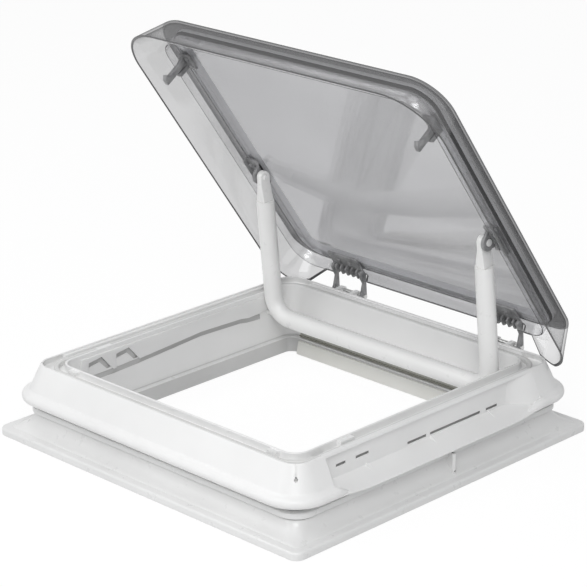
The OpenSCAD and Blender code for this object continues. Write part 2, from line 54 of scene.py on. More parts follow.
# Smallest corner radius of a section, and the most of an edge that a fillet takes
LEAST_R, EDGE_SHARE = 0.2, 0.48

# Plan half sizes (_H) and heights (_Z) of the two frames
OPEN_H, OPEN_R = 186.0, 16.0
RIM_H, RIM_R, RIM_Z = 209.0, 21.0, 87.0
WALL = 3.0
GUTTER_Z = 78.0
FOOT_H, LIP_R, LIP_Z = 224.0, 6.0, 50.0
LIP_H = FOOT_H + LIP_R / 3
SKIRT_FOOT = LIP_Z + LIP_R + 1.5
SKIRT_LEAN = (FOOT_H - RIM_H) / (RIM_Z - LIP_Z - LIP_R)
OUTER_AXIS = RIM_H - RIM_R
INNER_AXIS = OPEN_H - OPEN_R
INNER_Z, PLUG_Z = 21.5, 22.0
LEDGE_Z = 20.0
NECK_H, NECK_IN, NECK_STEP = 213.0, 1.8, 1.6
COVE_R, COVE_Z, COVE_CORNER, COVE_FOOT, COVE_SINK, COVE_LAND = 22.0, 31.0, 20.0, 7.0, 1.5, 5.2
FLANGE_H, FLANGE_R, EDGE_H = 240.0, 12.0, 9.0
COLLAR_H, COLLAR_R = 181.0, 11.0
BASE_H, BASE_R = NECK_H - WALL, 17.0
BEAD_LOW, BEAD_TOP, BEAD_H, BEAD_R = 29.4, 36.0, 218.0, COVE_CORNER + 4
SEAL_T = 2.5
CLAMP_H, PILOT_R, PILOT_ROOF, BOSS_R = 192.0, 1.75, 2.0, 5.0
SCREW_H, SCREW_AT = 197.5, 100.4
SPOUT_X, SPOUT_Y, SPOUT_R, SPOUT_TOP = 224.5, 21.0, 2.5, 35.0
OUTLET_Z, OUTLET_R = 14.0, 1.5
WEB_T, WEB_REACH = 2.0, 0.28 * COVE_R
WEEP_W, WEEP_DEPTH, WEEP_FOOT, WEEP_HOLE_R = 2.4, 3.2, 72.0, 2.2
WEEP_HOLE_IN, WEEP_OUT = 2.6 * WALL, 20.0
# Arcs of the cove, the full lip, the lip of a recess and the hinge lugs: start, end and steps
COVE_ARC, FULL_LIP, SLIM_LIP, LUG_ARC = (186, 252, 14), (80, -90, 12), (-36, -90, 8), (90, -37, 12)

# Recesses in the sides and the rear of the upper frame
SIDE_FRONT, SIDE_REAR, REAR_HALF = 167.0, 169.5, 169.5
RECESS_H, RIM_EDGE, SHELF_Z = 205.0, 4.0, 54.0
RECESS_BACK = RECESS_H - WALL
RIM_STEP, BROW, TIP_IN, TIP_DROP = 1.5, 1.5, 0.7, 2.6
LIP_SAG, SAG_RUN = 4.5, 55.0
# Lengths of the slopes and of the lip tapers at their ends, and how far a taper starts below the lip
SLOPE_FRONT, SLOPE_REAR, TAPER_FRONT, TAPER_REAR, BACK_END = 2.0, 44.0, 26.0, 34.0, 30.0
SIDE_SINK, BACK_SINK = 5.7, 4.0
SLOPE_SKIN, SLOPE_DROP, SLOPE_OUT, SLOPE_IN = 0.6, 4.0, 1.0, 1.2
TAPER_SLIM, TAPER_IN = 0.2, 0.05
VENT_SLOTS = ((-145.3, -131.1, 66.0), (-115.2, -95.2, 66.0), (-33.5, -3.3, 56.4),
              (3.3, 86.8, 56.4), (96.9, 116.0, 56.4))
SLOT_H, SLOT_DEPTH = 3.0, 2.5
RIB_Y, RIB_T, RIB_SINK, RIB_RISE, RIB_IN = (-98.5, 4.2, 101.9), 2.0, 2.0, 2.5, 6.0
RIB_END_T, RIB_SAG = 3.0, 0.7
GUSSET_AHEAD, GUSSET_T, GUSSET_OUT, GUSSET_DROP = 12.0, 3.0, 2.0, 3.0
STOP_SIDE, STOP_FRONT, STOP_W, STOP_TOP = (-127.0, -106.0), (152.0, 165.0), 6.0, RIM_Z - 1.5
LUG_OFF, LUG_T, LUG_FOOT = 12.0, 6.0, LIP_Z + LIP_R + 6

# Guide rails: lower edge and catch hooks, as places along the side and heights
RAIL_T, RAIL_FRONT, RAIL_REAR, RAIL_LOW, RAIL_TOP = 2.4, -158.8, 155.6, 58.0, RIM_Z - 5
RAIL_EDGE = ((-69.0, 59.5), (-18.0, 62.5), (30.0, 65.5), (97.0, 63.5), (109.0, 61.4))
RAIL_SEAT = ((131.6, 62.6), (141.6, 64.6), (151.6, 64.6), (151.6, 55.0), (RAIL_REAR, 55.0))
HOOK_Y, HOOK_EDGE, HOOK_L = (-148.2, -106.0), ((0.0, 75.5), (20.0, 78.0), (35.0, 61.0)), 38.0
TRACK_H, TRACK_DEPTH, TRACK_DROP, TRACK_END, CREST_IN = 6.0, 2.3, 1.7, (131.0, 60.2), 2.0

# Places of the joints, from the record
JOINTS = {joint["name"]: joint for joint in frame["joints"]}
OPEN_ANGLE = math.radians(JOINTS["lid_hinge"]["range_deg"][1])
HINGE_Y, HINGE_Z = (v / MM for v in JOINTS["lid_hinge"]["pos_m"][1:])
PIVOT_OPEN = [v / MM for v in JOINTS["bail_pivot"]["pos_m"]]

# Lid, as it is when closed
HINGE_X, HOOK_W, EYE_R, CLIP_GAP = 124.0, 50.0, 4.8, 26.5
DOME_X, DOME_FRONT, DOME_REAR = 236.0, 232.0, 226.0
DOME_FRONT_R, DOME_REAR_R = 64.0, 48.0
DOME_TOP, DOME_H, DOME_T = 113.0, 47.0, 3.0
DOME_DRAFT, DOME_ROUND, DOME_BORDER, DOME_EDGE = 16.5, 12.0, 38.0, 0.9
DOME_CUT_H, DOME_CLIP_H, DOME_REAR_LEAN = 25.0, 33.0, 0.4
# Steps of the dome's corners and shoulder, and the shares of its side's height that have a ring
DOME_STEPS, SHOULDER_STEPS, SIDE_SHARES = 24, 10, (0.0, 0.3, 0.6)
# Stations along the rear edge: pitch and count by the corner, step by a clip, and one further in
REAR_PITCH, REAR_COUNT, CLIP_STEP, REAR_MID = 4.0, 9, 1.5, 45.0
# The cutout in the rear edge: where it starts, and its height by the distance in from the side
CUT_FROM = RIM_H - 12
CUT_MARKS = ((24.0, 0.0), (52.0, DOME_CUT_H / 3), (72.0, DOME_CUT_H))
PAN_H, PAN_R, PAN_T = 200.0, 30.0, 2.5
PAN_ROUND, PAN_IN_ROUND, PAN_EDGE = 4.0, 2.0, 0.7
RING_Z, FACE_Z, PAN_TOP = 85.5, 99.5, 102.0
NOTCH_ROOM, NOTCH_ROOF = 2.0, 0.1
PLATE_T = 3.0
SPACER_H, SPACER_W, SPACER_LINE, SPACER_BOND = 8.0, 14.0, 1.8, 4.0
LID_TURN = (Matrix.Translation((0, HINGE_Y, HINGE_Z)) @ Matrix.Rotation(-OPEN_ANGLE, 4, "X")
            @ Matrix.Translation((0, -HINGE_Y, -HINGE_Z)))

# Latches: outlines of the two prongs, as places from the middle and heights, and ribs on the inner face
LATCH_Y, LATCH_X0, LATCH_X1 = -155.0, 189.6, 195.0
LATCH_PLATE_X, LATCH_HALF = 178.0, 11.0
LATCH_LOW, LATCH_NECK, PRONG_LOW = RING_Z - 24.5, FACE_Z - PLATE_T - 8, GUTTER_Z + 1.5
LONG_PRONG = ((6.0, FACE_Z), (-8.0, FACE_Z), (-4.0, LATCH_NECK), (-4.0, LATCH_LOW + 9),
              (-9.0, LATCH_LOW + 4), (-4.0, LATCH_LOW), (3.0, LATCH_LOW), (3.0, LATCH_NECK))
SHORT_PRONG = ((5.0, FACE_Z), (11.0, FACE_Z), (10.5, PRONG_LOW + 3), (8.0, PRONG_LOW),
               (5.0, PRONG_LOW + 2))
LATCH_RIBS, LATCH_RIB_T, LATCH_RIB_OUT, LATCH_RIB_IN = (-3.5, 1.5), 1.0, 1.0, 0.5
# Room for a latch in the gutter floor: inside it, outside it, in front and behind
WAY_IN, WAY_OUT, WAY_FRONT, WAY_REAR = 0.3, 0.4, 11.0, 7.0

# Brackets of the bail: the plate's widths are to the two sides of its fork and to its outer edge
BRACKET_X, BRACKET_T, EAR_R, EAR_FLARE = 176.7, 4.0, 10.0, 4.0
FORK_IN, FORK_OUT, PLATE_W, FLAP_T, FLAP_H = 6.0, 10.0, 18.8, 1.5, 8.0
PIVOT_Y, PIVOT_Z, PIVOT_HEAD_R = 36.0, 91.0, 4.6
HEAD_HOLE, HEAD_SINK, HEAD_RISE, HEAD_GAP = 1.6, 1.5, 0.8, 0.3

# Hinge clips: ribs stand at shares of the width
CLIP_LEG_T, CLIP_RIB_T, CLIP_TONGUE = 4.0, 2.4, 18.0
CLIP_RIBS, CLIP_EYE = (-0.34, -0.17, 0.0, 0.17, 0.34), (65, -150, 18)

# Bail, as it hangs from its pivots
BAIL_X, BAIL_LEAN = 172.0, math.radians(6)
CAP_L, CAP_R, CAP_FLARE, CAP_SLIM, CAP_THICK, CAP_WAIST = 30.3, 7.5, 0.6, 3.8, 7.0, -10.0
BAIL_TURN = Matrix.Translation(PIVOT_OPEN) @ Matrix.Rotation(BAIL_LEAN, 4, "X")

# Seals in the gutter and on the rear wall
SEAL_TOP, SEAL_IN, SEAL_GAP = 82.0, 7.0, 0.3
BULB_H, BULB_HALF = 1.4, 2.0
GASKET_END, GASKET_T, GASKET_H = 2.0, 2.2, 5.4
STRAND_IN, STRAND_Z, STRAND_R = 2.6, 2.2, 1.2

# The right half and its mirror image
SIDES = {"right": Matrix.Identity(4), "left": Matrix.Scale(-1, 4, (1, 0, 0))}

# Camera, fitted to the photograph: azimuth, elevation and roll, then its aim in metres
CAMERA_ANGLES = [math.radians(a) for a in (44.5, 20.07, -0.19)]
CAMERA_TARGET = Vector((-0.00314, 0.00402, 0.16679))
CAMERA_DISTANCE = 2.71709
FOCAL_PIXELS, IMAGE_PIXELS, SENSOR = 2408.33, 587, 36.0
CLIP_NEAR, CLIP_FAR = 0.05, 200


def add_object(name, data):
    obj = bpy.data.objects.new(name, data)
    bpy.context.scene.collection.objects.link(obj)
    return obj


def make_camera():
    data = bpy.data.cameras.new("photo_camera")
    data.sensor_width = SENSOR
    data.lens = FOCAL_PIXELS / IMAGE_PIXELS * SENSOR
    data.clip_start, data.clip_end = CLIP_NEAR, CLIP_FAR
    cam = add_object("photo_camera", data)
    a, e, r = CAMERA_ANGLES
    back = Vector((math.sin(a) * math.cos(e), -math.cos(a) * math.cos(e), math.sin(e)))
    level = Vector((math.cos(a), math.sin(a), 0))
    rise = back.cross(level)
    right = level * math.cos(r) + rise * math.sin(r)
    up = rise * math.cos(r) - level * math.sin(r)
    turn = Matrix((right, up, back)).transposed()
    cam.matrix_world = Matrix.Translation(CAMERA_TARGET + back * CAMERA_DISTANCE) @ turn.to_4x4()
    bpy.context.scene.camera = cam


make_camera()


# Shader helpers
GRAIN_SCALE, GRAIN_DEPTH, GLOSS_SCALE = 1500.0, 0.0003, 9
TINT_SCALE, TINT_DRIFT, SMEAR_SCALE = 7.0, 0.03, 60.0
MIRROR_TONE, CLEAR_ROUGH = (0.97, 0.97, 0.98, 1), (0.05, 0.09)
SCHLICK_POWER = 5.0


def new_material(name):
    material = bpy.data.materials.new(name)
    material.use_nodes = True
    return material, material.node_tree


def link(tree, source, target):
    tree.links.new(source, target)


def texture_noise(tree, scale, detail=2.0, rough=0.5):
    coords = tree.nodes.new("ShaderNodeTexCoord")
    noise = tree.nodes.new("ShaderNodeTexNoise")
    noise.inputs["Scale"].default_value = scale
    noise.inputs["Detail"].default_value = detail
    noise.inputs["Roughness"].default_value = rough
    link(tree, coords.outputs["Object"], noise.inputs["Vector"])
    return noise.outputs["Fac"]


def remap(tree, value, low, high, from_low=0.3, from_high=0.7):
    """A value moved to another range, from the one that most noise lies in unless told."""
    node = tree.nodes.new("ShaderNodeMapRange")
    limits = {"From Min": from_low, "From Max": from_high, "To Min": low, "To Max": high}
    for name, number in limits.items():
        node.inputs[name].default_value = number
    link(tree, value, node.inputs["Value"])
    return node.outputs["Result"]


def math_node(tree, operation, value, number):
    node = tree.nodes.new("ShaderNodeMath")
    node.operation = operation
    link(tree, value, node.inputs[0])
    node.inputs[1].default_value = number
    return node.outputs["Value"]


def blend_colours(tree, fac, first, second):
    mix = tree.nodes.new("ShaderNodeMix")
    mix.data_type = "RGBA"
    link(tree, fac, mix.inputs["Factor"])
    mix.inputs["A"].default_value = (*first, 1)
    mix.inputs["B"].default_value = (*second, 1)
    return mix.outputs["Result"]


def blend_shaders(tree, fac, first, second, output):
    """Two shaders mixed by a factor, led to the output node."""
    mix = tree.nodes.new("ShaderNodeMixShader")
    link(tree, fac, mix.inputs["Fac"])
    link(tree, first, mix.inputs[1])
    link(tree, second, mix.inputs[2])
    link(tree, mix.outputs["Shader"], tree.nodes[output].inputs["Surface"])


def moulded(name, dark, light, rough=(0.36, 0.48), strength=0.05, cloud=9.0, metal=0.0):
    """A moulded surface: a slow drift of tone, uneven gloss and a fine grain."""
    material, tree = new_material(name)
    shader = tree.nodes["Principled BSDF"]
    shader.inputs["Metallic"].default_value = metal
    tone = remap(tree, texture_noise(tree, cloud, detail=3.0, rough=0.55), 0.0, 1.0)
    link(tree, blend_colours(tree, tone, dark, light), shader.inputs["Base Color"])
    gloss = texture_noise(tree, cloud * GLOSS_SCALE, detail=3.0, rough=0.6)
    link(tree, remap(tree, gloss, *rough), shader.inputs["Roughness"])
    bump = tree.nodes.new("ShaderNodeBump")
    bump.inputs["Strength"].default_value = strength
    bump.inputs["Distance"].default_value = GRAIN_DEPTH
    link(tree, texture_noise(tree, GRAIN_SCALE, rough=0.6), bump.inputs["Height"])
    link(tree, bump.outputs["Normal"], shader.inputs["Normal"])
    return material


def smoked(name, face_tint, edge_tint, fall, mirror_range, rough=CLEAR_ROUGH):
    """Tinted clear plastic: it darkens what is behind it, more so where it is seen at a slant."""
    material, tree = new_material(name)
    tree.nodes.remove(tree.nodes["Principled BSDF"])
    facing = tree.nodes.new("ShaderNodeLayerWeight").outputs["Facing"]
    tint = blend_colours(tree, math_node(tree, "POWER", facing, fall), face_tint, edge_tint)
    shade = tree.nodes.new("ShaderNodeVectorMath")
    shade.operation = "SCALE"
    link(tree, tint, shade.inputs[0])
    link(tree, remap(tree, texture_noise(tree, TINT_SCALE), 1 - TINT_DRIFT, 1.0), shade.inputs["Scale"])
    clear = tree.nodes.new("ShaderNodeBsdfTransparent")
    link(tree, shade.outputs["Vector"], clear.inputs["Color"])
    gloss = tree.nodes.new("ShaderNodeBsdfGlossy")
    gloss.inputs["Color"].default_value = MIRROR_TONE
    link(tree, remap(tree, texture_noise(tree, SMEAR_SCALE), *rough), gloss.inputs["Roughness"])
    # Schlick's rule, the same from both sides of the sheet, between a head-on and a grazing share
    mirror = remap(tree, math_node(tree, "POWER", facing, SCHLICK_POWER), *mirror_range, 0.0, 1.0)
    blend_shaders(tree, mirror, clear.outputs["BSDF"], gloss.outputs["BSDF"], "Material Output")
    return material


# Plastics, rubbers and steel: darkest and lightest tone, then gloss and grain
WHITE_BASE = moulded("white_base", (0.77, 0.77, 0.765), (0.81, 0.81, 0.805), (0.27, 0.3), strength=0.02)
# Painted shade: a darker white for the collar's inner face and the rail tracks, and a grey for the inside
# of the vent slots
PAINTED_SHADE_WHITE = moulded("white_painted_shade", (0.56, 0.56, 0.555), (0.64, 0.64, 0.635), (0.4, 0.5))
SLOT_PAINTED_SHADE = moulded("slot_painted_shade", (0.36, 0.36, 0.356), (0.46, 0.46, 0.456), (0.4, 0.5))
WHITE_UPPER = moulded("white_upper", (0.82, 0.82, 0.815), (0.87, 0.87, 0.865), (0.3, 0.42))
WHITE_BAIL = moulded("white_bail", (0.88, 0.88, 0.87), (0.93, 0.93, 0.92), (0.26, 0.38))
SMOKE_EDGE = moulded("smoke_edge", (0.08, 0.08, 0.082), (0.13, 0.13, 0.133), (0.2, 0.3))
GREY_CLIP = moulded("grey_clip", (0.16, 0.16, 0.163), (0.34, 0.34, 0.345), (0.22, 0.4), cloud=90.0)
DARK_RUBBER = moulded("dark_rubber", (0.06, 0.06, 0.048), (0.1, 0.1, 0.082), (0.6, 0.8), strength=0.2)
LIGHT_RUBBER = moulded("light_rubber", (0.66, 0.66, 0.65), (0.74, 0.74, 0.73), (0.55, 0.7), strength=0.15)
OLIVE_RUBBER = moulded("olive_rubber", (0.2, 0.2, 0.165), (0.27, 0.27, 0.23), (0.6, 0.8), strength=0.2)
OLIVE_PALE = moulded("olive_pale", (0.4, 0.4, 0.36), (0.5, 0.5, 0.46), (0.55, 0.7), strength=0.15)
STEEL = moulded("steel", (0.5, 0.5, 0.5), (0.62, 0.62, 0.61), (0.25, 0.4), metal=1.0, cloud=60.0)
BEIGE = moulded("beige_strip", (0.76, 0.757, 0.715), (0.86, 0.857, 0.825), (0.45, 0.6))
SPACER = moulded("spacer_foam", (0.76, 0.76, 0.775), (0.86, 0.86, 0.875), (0.6, 0.8), strength=0.2)
SPACER_EDGE = moulded("spacer_edge", (0.012, 0.012, 0.013), (0.025, 0.025, 0.026), (0.6, 0.8))

# Smoke plastic of the lid: tint head on and at a slant, how late it falls, and its shares of mirror
SMOKE_TOP = smoked("smoke_top", (0.71, 0.71, 0.715), (0.12, 0.12, 0.122), 8.0, (0.01, 0.12))
SMOKE_BORDER = smoked("smoke_border", (0.44, 0.44, 0.444), (0.08, 0.08, 0.082), 6.0, (0.07, 0.12))
# The side tint is a darker copy of the border, a painted shade
SMOKE_SIDE_SHADE = smoked("smoke_side_shade", (0.40, 0.40, 0.404), (0.06, 0.06, 0.062), 6.0, (0.06, 0.11))
SMOKE_SKIRT = smoked("smoke_skirt", (0.80, 0.80, 0.802), (0.05, 0.05, 0.051), 6.0, (0.07, 0.12))
# The flank tint is a lighter copy of the skirt, a painted light
SMOKE_FLANK_LIT = smoked("smoke_flank_lit", (0.89, 0.89, 0.892), (0.05, 0.05, 0.051), 6.0, (0.025, 0.06))
SMOKE_PAN = smoked("smoke_pan", (0.95, 0.95, 0.953), (0.9, 0.9, 0.908), 2.0, (0.04, 1.0), (0.03, 0.07))
SMOKE_WALL = smoked("smoke_wall", (0.95, 0.95, 0.953), (0.9, 0.9, 0.908), 2.0, (0.32, 1.0), (0.2, 0.28))


# Mesh helpers
def to_metres(points, matrix=None):
    for x, y, z in points:
        p = Vector((x, y, z))
        yield (matrix @ p if matrix else p) * MM


def make_piece(name, bm, body, materials, replaced=(), sharp=SHARP):
    bmesh.ops.recalc_face_normals(bm, faces=bm.faces[:])
    mesh = bpy.data.meshes.new(name)
    bm.to_mesh(mesh)
    bm.free()
    mesh.shade_smooth()
    mesh.set_sharp_from_angle(angle=math.radians(sharp))
    obj = add_object(name, mesh)
    for material in materials:
        mesh.materials.append(material)
    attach(obj, body)
    if replaced:
        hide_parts(*replaced)


def rounded(section):
    """Closed section of (half size, height, corner radius, fillet) points with the fillets drawn in."""
    out = []
    count = len(section)
    for i, (h, z, r, fillet) in enumerate(section):
        if fillet <= 0:
            out.append((h, z, r))
            continue
        before, after = section[i - 1], section[(i + 1) % count]
        here = Vector((h, z))
        to_a, to_b = Vector(before[:2]) - here, Vector(after[:2]) - here
        len_a, len_b = to_a.length, to_b.length
        to_a.normalize()
        to_b.normalize()
        half = to_a.angle(to_b) / 2
        reach = min(fillet / math.tan(half), EDGE_SHARE * len_a, EDGE_SHARE * len_b)
        radius = reach * math.tan(half)
        centre = here + (to_a + to_b).normalized() * (radius / math.sin(half))
        start, end = here + to_a * reach - centre, here + to_b * reach - centre
        angle = math.atan2(start.y, start.x)
        sweep_angle = math.atan2(start.x * end.y - start.y * end.x, start.dot(end))
        r_a = r + (before[2] - r) * reach / len_a
        r_b = r + (after[2] - r) * reach / len_b
        for k in range(FILLET_STEPS + 1):
            t = k / FILLET_STEPS
            a = angle + sweep_angle * t
            point_h, point_z = centre.x + radius * math.cos(a), centre.y + radius * math.sin(a)
            out.append((point_h, point_z, r_a + (r_b - r_a) * t))
    return out


def quarter_turns(x, y, k):
    for _ in range(k % 4):
        x, y = -y, x
    return x, y


def on_side(k, t):
    return lambda h, r: quarter_turns(h, t, k)


def on_corner(k, angle):
    c, s = math.cos(angle), math.sin(angle)
    return lambda h, r: quarter_turns(h - r + r * c, h - r + r * s, k)


def corner(k):
    return [on_corner(k, math.pi / 2 * i / CORNER_STEPS) for i in range(CORNER_STEPS + 1)]


RIGHT, REAR, LEFT, FRONT = range(4)
ALL_ROUND = [s for k in range(4) for s in corner(k)]
QUARTERS = [Matrix.Rotation(math.pi / 2 * k, 4, "Z") for k in range(4)]


def sweep(bm, section, stations, closed):
    rows = []
    for station in stations:
        flat = [(*station(h, max(r, LEAST_R)), z) for h, z, r in section]
        rows.append([bm.verts.new(p) for p in to_metres(flat)])
    count = len(section)
    pairs = list(zip(rows, rows[1:])) + ([(rows[-1], rows[0])] if closed else [])
    for a, b in pairs:
        for i in range(count):
            j = (i + 1) % count
            bm.faces.new((a[i], a[j], b[j], b[i]))
    if not closed:
        bm.faces.new(rows[0])
        bm.faces.new(rows[-1][::-1])


def loft(bm, rings, matrix=None):
    """A closed skin through rings of points, with two caps. Gives the faces between each two rings."""
    rows = [[bm.verts.new(p) for p in to_metres(ring, matrix)] for ring in rings]
    count = len(rows[0])
    strips = []
    for a, b in zip(rows, rows[1:]):
        strips.append([bm.faces.new((a[i - 1], a[i], b[i], b[i - 1])) for i in range(count)])
    bm.faces.new(rows[0])
    bm.faces.new(rows[-1][::-1])
    return strips


X_AXIS, Y_AXIS, Z_AXIS = range(3)


def prism(bm, outline, axis, low, high, matrix=None):
    """A closed outline of two coordinates, given a thickness along the third."""
    loft(bm, [[(*p[:axis], level, *p[axis:]) for p in outline] for level in (low, high)], matrix)


def block(bm, low, high, matrix=None):
    """A box between two corners."""
    (x0, y0, z0), (x1, y1, z1) = low, high
    prism(bm, [(x0, y0), (x1, y0), (x1, y1), (x0, y1)], Z_AXIS, z0, z1, matrix)


def disc(cx, cy, radius, steps=ROUND_STEPS):
    angles = [2 * math.pi * i / steps for i in range(steps)]
    return [(cx + radius * math.cos(a), cy + radius * math.sin(a)) for a in angles]


def arc(cx, cz, radius, start, end, steps):
    for i in range(steps + 1):
        a = math.radians(start + (end - start) * i / steps)
        yield cx + radius * math.cos(a), cz + radius * math.sin(a)


def ease(share):
    """A share of the way that starts and ends slowly."""
    return share * share * (3 - 2 * share)


def eased_places(start, end):
    """Places from a start to an end, each with its eased share of the way."""
    for i in range(END_STEPS + 1):
        share = i / END_STEPS
        yield start + (end - start) * share, ease(share)


def round_edges(bm, width, segments=2):
    """Rounds the edges where two faces meet at a clear angle."""
    bmesh.ops.recalc_face_normals(bm, faces=bm.faces[:])
    limit = math.radians(BEVEL_FROM)
    sharp = [e for e in bm.edges if len(e.link_faces) == 2 and e.calc_face_angle(0) > limit]
    bmesh.ops.bevel(bm, geom=sharp, offset=width * MM, offset_type="OFFSET", segments=segments,
                    profile=0.5, affect="EDGES", clamp_overlap=True)


def join(bm, other):
    """Adds one form to another and frees it."""
    mesh = bpy.data.meshes.new("joined")
    other.to_mesh(mesh)
    other.free()
    bm.from_mesh(mesh)
    bpy.data.meshes.remove(mesh)


def carve(bm, cutter):
    """The first form with the second taken out of it."""
    holders = []
    for name, form in (("form", bm), ("cutter", cutter)):
        bmesh.ops.recalc_face_normals(form, faces=form.faces[:])
        mesh = bpy.data.meshes.new(name)
        form.to_mesh(mesh)
        form.free()
        holders.append(add_object(name, mesh))
    cut = holders[0].modifiers.new("cut", "BOOLEAN")
    cut.operation, cut.solver, cut.object = "DIFFERENCE", "EXACT", holders[1]
    bpy.context.view_layer.update()
    evaluated = holders[0].evaluated_get(bpy.context.evaluated_depsgraph_get())
    mesh = bpy.data.meshes.new_from_object(evaluated)
    result = bmesh.new()
    result.from_mesh(mesh)
    bpy.data.meshes.remove(mesh)
    for holder in holders:
        bpy.data.meshes.remove(holder.data, do_unlink=True)
    return result


# Base frame with its flange, cove and bead
def base_section():
    """From the collar over the ledge, the bead, the cove and the flange, and back underneath."""
    cove_h = NECK_H + COVE_R
    neck, under = NECK_H - NECK_IN, LEDGE_Z - WALL
    section = [(COLLAR_H, 0, COLLAR_R, 0.8), (COLLAR_H, LEDGE_Z, COLLAR_R, 1.2),
               (BASE_H, LEDGE_Z, BASE_R, 1.5), (BASE_H, BEAD_TOP, BASE_R, 0.8),
               (BEAD_H, BEAD_TOP, BEAD_R, 1.0), (BEAD_H, BEAD_LOW, BEAD_R, 0.8),
               (neck, BEAD_LOW, COVE_CORNER, 0), (neck, BEAD_LOW - NECK_STEP, COVE_CORNER, 0)]
    cove = list(arc(cove_h, COVE_Z - COVE_SINK, COVE_R - COVE_SINK, *COVE_ARC))
    for i, (h, z) in enumerate(cove):
        section.append((h, z, COVE_CORNER + (COVE_FOOT - COVE_CORNER) * i / len(cove), 0))
    section += [(cove_h - COVE_LAND, EDGE_H, COVE_FOOT, 0.4), (FLANGE_H, EDGE_H, FLANGE_R, 2.6),
                (FLANGE_H, 0, FLANGE_R, 0.6), (FLANGE_H - WALL, 0, FLANGE_R - WALL, 0.3),
                (FLANGE_H - WALL, SEAL_T, FLANGE_R - WALL, 0), (BEAD_H, SEAL_T, BEAD_R, 0),
                (BASE_H, under, BASE_R, 0), (COLLAR_H + WALL, under, COLLAR_R + WALL, 1.0),
                (COLLAR_H + WALL, 0, COLLAR_R + WALL, 0.6)]
    return rounded(section)


def make_base():
    bm = bmesh.new()
    sweep(bm, base_section(), ALL_ROUND, True)
    roof = LEDGE_Z - WALL
    for x in (-CLAMP_H, CLAMP_H):
        for y in (-CLAMP_H, CLAMP_H):
            boss, pilot = bmesh.new(), bmesh.new()
            prism(boss, disc(x, y, BOSS_R), Z_AXIS, SEAL_T, roof + SEAM)
            prism(pilot, disc(x, y, PILOT_R), Z_AXIS, 0, roof - PILOT_ROOF)
            join(bm, carve(boss, pilot))
    outlet_end = SPOUT_X + SPOUT_R + 2 * CLEAR
    web = [(NECK_H - ROOT, SPOUT_TOP), (SPOUT_X, SPOUT_TOP), (SPOUT_X, EDGE_H),
           (NECK_H + WEB_REACH, EDGE_H + WEB_REACH), (NECK_H - ROOT, BEAD_LOW)]
    for mirror in SIDES.values():
        spout, outlet = bmesh.new(), bmesh.new()
        prism(spout, disc(SPOUT_X, SPOUT_Y, SPOUT_R), Z_AXIS, EDGE_H, SPOUT_TOP, mirror)
        eye = disc(SPOUT_Y, OUTLET_Z, OUTLET_R, TINY_STEPS)
        prism(outlet, eye, X_AXIS, SPOUT_X, outlet_end, mirror)
        join(bm, carve(spout, outlet))
        prism(bm, web, Y_AXIS, SPOUT_Y - WEB_T / 2, SPOUT_Y + WEB_T / 2, mirror)
    # The collar's inner face takes the darker white, a painted shade down in the opening
    slack, shade_low, shade_high = 0.1, 0.5, LEDGE_Z - 1
    for face in bm.faces:
        x, y, z = face.calc_center_median() / MM
        inside = max(abs(x), abs(y)) < COLLAR_H + slack and shade_low < z < shade_high
        face.material_index = int(inside)
    materials = [WHITE_BASE, PAINTED_SHADE_WHITE]
    make_piece("base_moulding", bm, "fixed_frame", materials, ["base_frame"])


# Upper frame with its gutter, recesses, ribs and lugs
def upper_sections():
    """The frame's section in full, as at its corners and front, and where a recess cuts it."""
    def inner(h, z, fillet):
        return h, z, h - INNER_AXIS, fillet

    def outer(h, z, fillet=0.0):
        return h, z, h - OUTER_AXIS, fillet

    wall_h, rim_in = OPEN_H + WALL, RIM_H - WALL
    floor_h = rim_in + (RIM_Z - GUTTER_Z) * SKIRT_LEAN
    step_z, brow_z = RIM_Z - RIM_STEP, RIM_Z - RIM_EDGE
    inside = [inner(OPEN_H, INNER_Z, 0.6), inner(OPEN_H, RIM_Z, 1.2), inner(wall_h, RIM_Z, 1.2),
              inner(wall_h, GUTTER_Z, 1.5)]
    behind = [outer(RIM_H, LIP_Z - LIP_R, 1.0), outer(RIM_H, PLUG_Z, 0.6), outer(rim_in, PLUG_Z, 0.6),
              outer(rim_in, LIP_Z - WALL), outer(RECESS_BACK, LIP_Z), outer(RECESS_BACK, GUTTER_Z - WALL),
              inner(wall_h, GUTTER_Z - WALL, 0), inner(wall_h, INNER_Z, 0.6)]
    full = inside + [outer(floor_h, GUTTER_Z, 1.5), outer(rim_in, RIM_Z, 1.0), outer(RIM_H, RIM_Z, 1.5),
                     outer(FOOT_H - 1, SKIRT_FOOT, 5.0)]
    full += [outer(h, z) for h, z in arc(LIP_H, LIP_Z, LIP_R, *FULL_LIP)]
    recess = inside + [outer(RECESS_BACK, GUTTER_Z, 1.5), outer(RECESS_BACK, step_z, 0.5),
                       outer(rim_in, step_z, 0.4), outer(rim_in, RIM_Z, 0.6), outer(RIM_H, RIM_Z, 1.3),
                       outer(RIM_H + BROW, brow_z, 1.0), outer(RECESS_H, brow_z, 1.0),
                       outer(RECESS_H, SHELF_Z, 0.8), outer(LIP_H + LIP_R - TIP_IN, LIP_Z - TIP_DROP, 1.2)]
    recess += [outer(h, z) for h, z in arc(LIP_H, LIP_Z, LIP_R, *SLIM_LIP)]
    return rounded(full + behind), rounded(recess + behind)


def weep_cutters(*corners):
    """Grooves down the outer face of some corners, and the holes at their feet."""
    grooves, holes = bmesh.new(), bmesh.new()
    rim, top = OUTER_AXIS * math.sqrt(2) + RIM_R, RIM_Z + 2 * CLEAR
    foot = rim + (RIM_Z - WEEP_FOOT) * SKIRT_LEAN
    far = foot + WEEP_OUT
    groove = [(rim - WEEP_DEPTH, top), (far, top), (far, WEEP_FOOT), (foot - WEEP_DEPTH, WEEP_FOOT)]
    hole = disc(0, WEEP_FOOT, WEEP_HOLE_R, SMALL_STEPS)
    for k in corners:
        turn = Matrix.Rotation(math.pi / 4 + math.pi / 2 * k, 4, "Z")
        prism(grooves, groove, Y_AXIS, -WEEP_W / 2, WEEP_W / 2, turn)
        prism(holes, hole, X_AXIS, foot - WEEP_HOLE_IN, far, turn)
    return grooves, holes


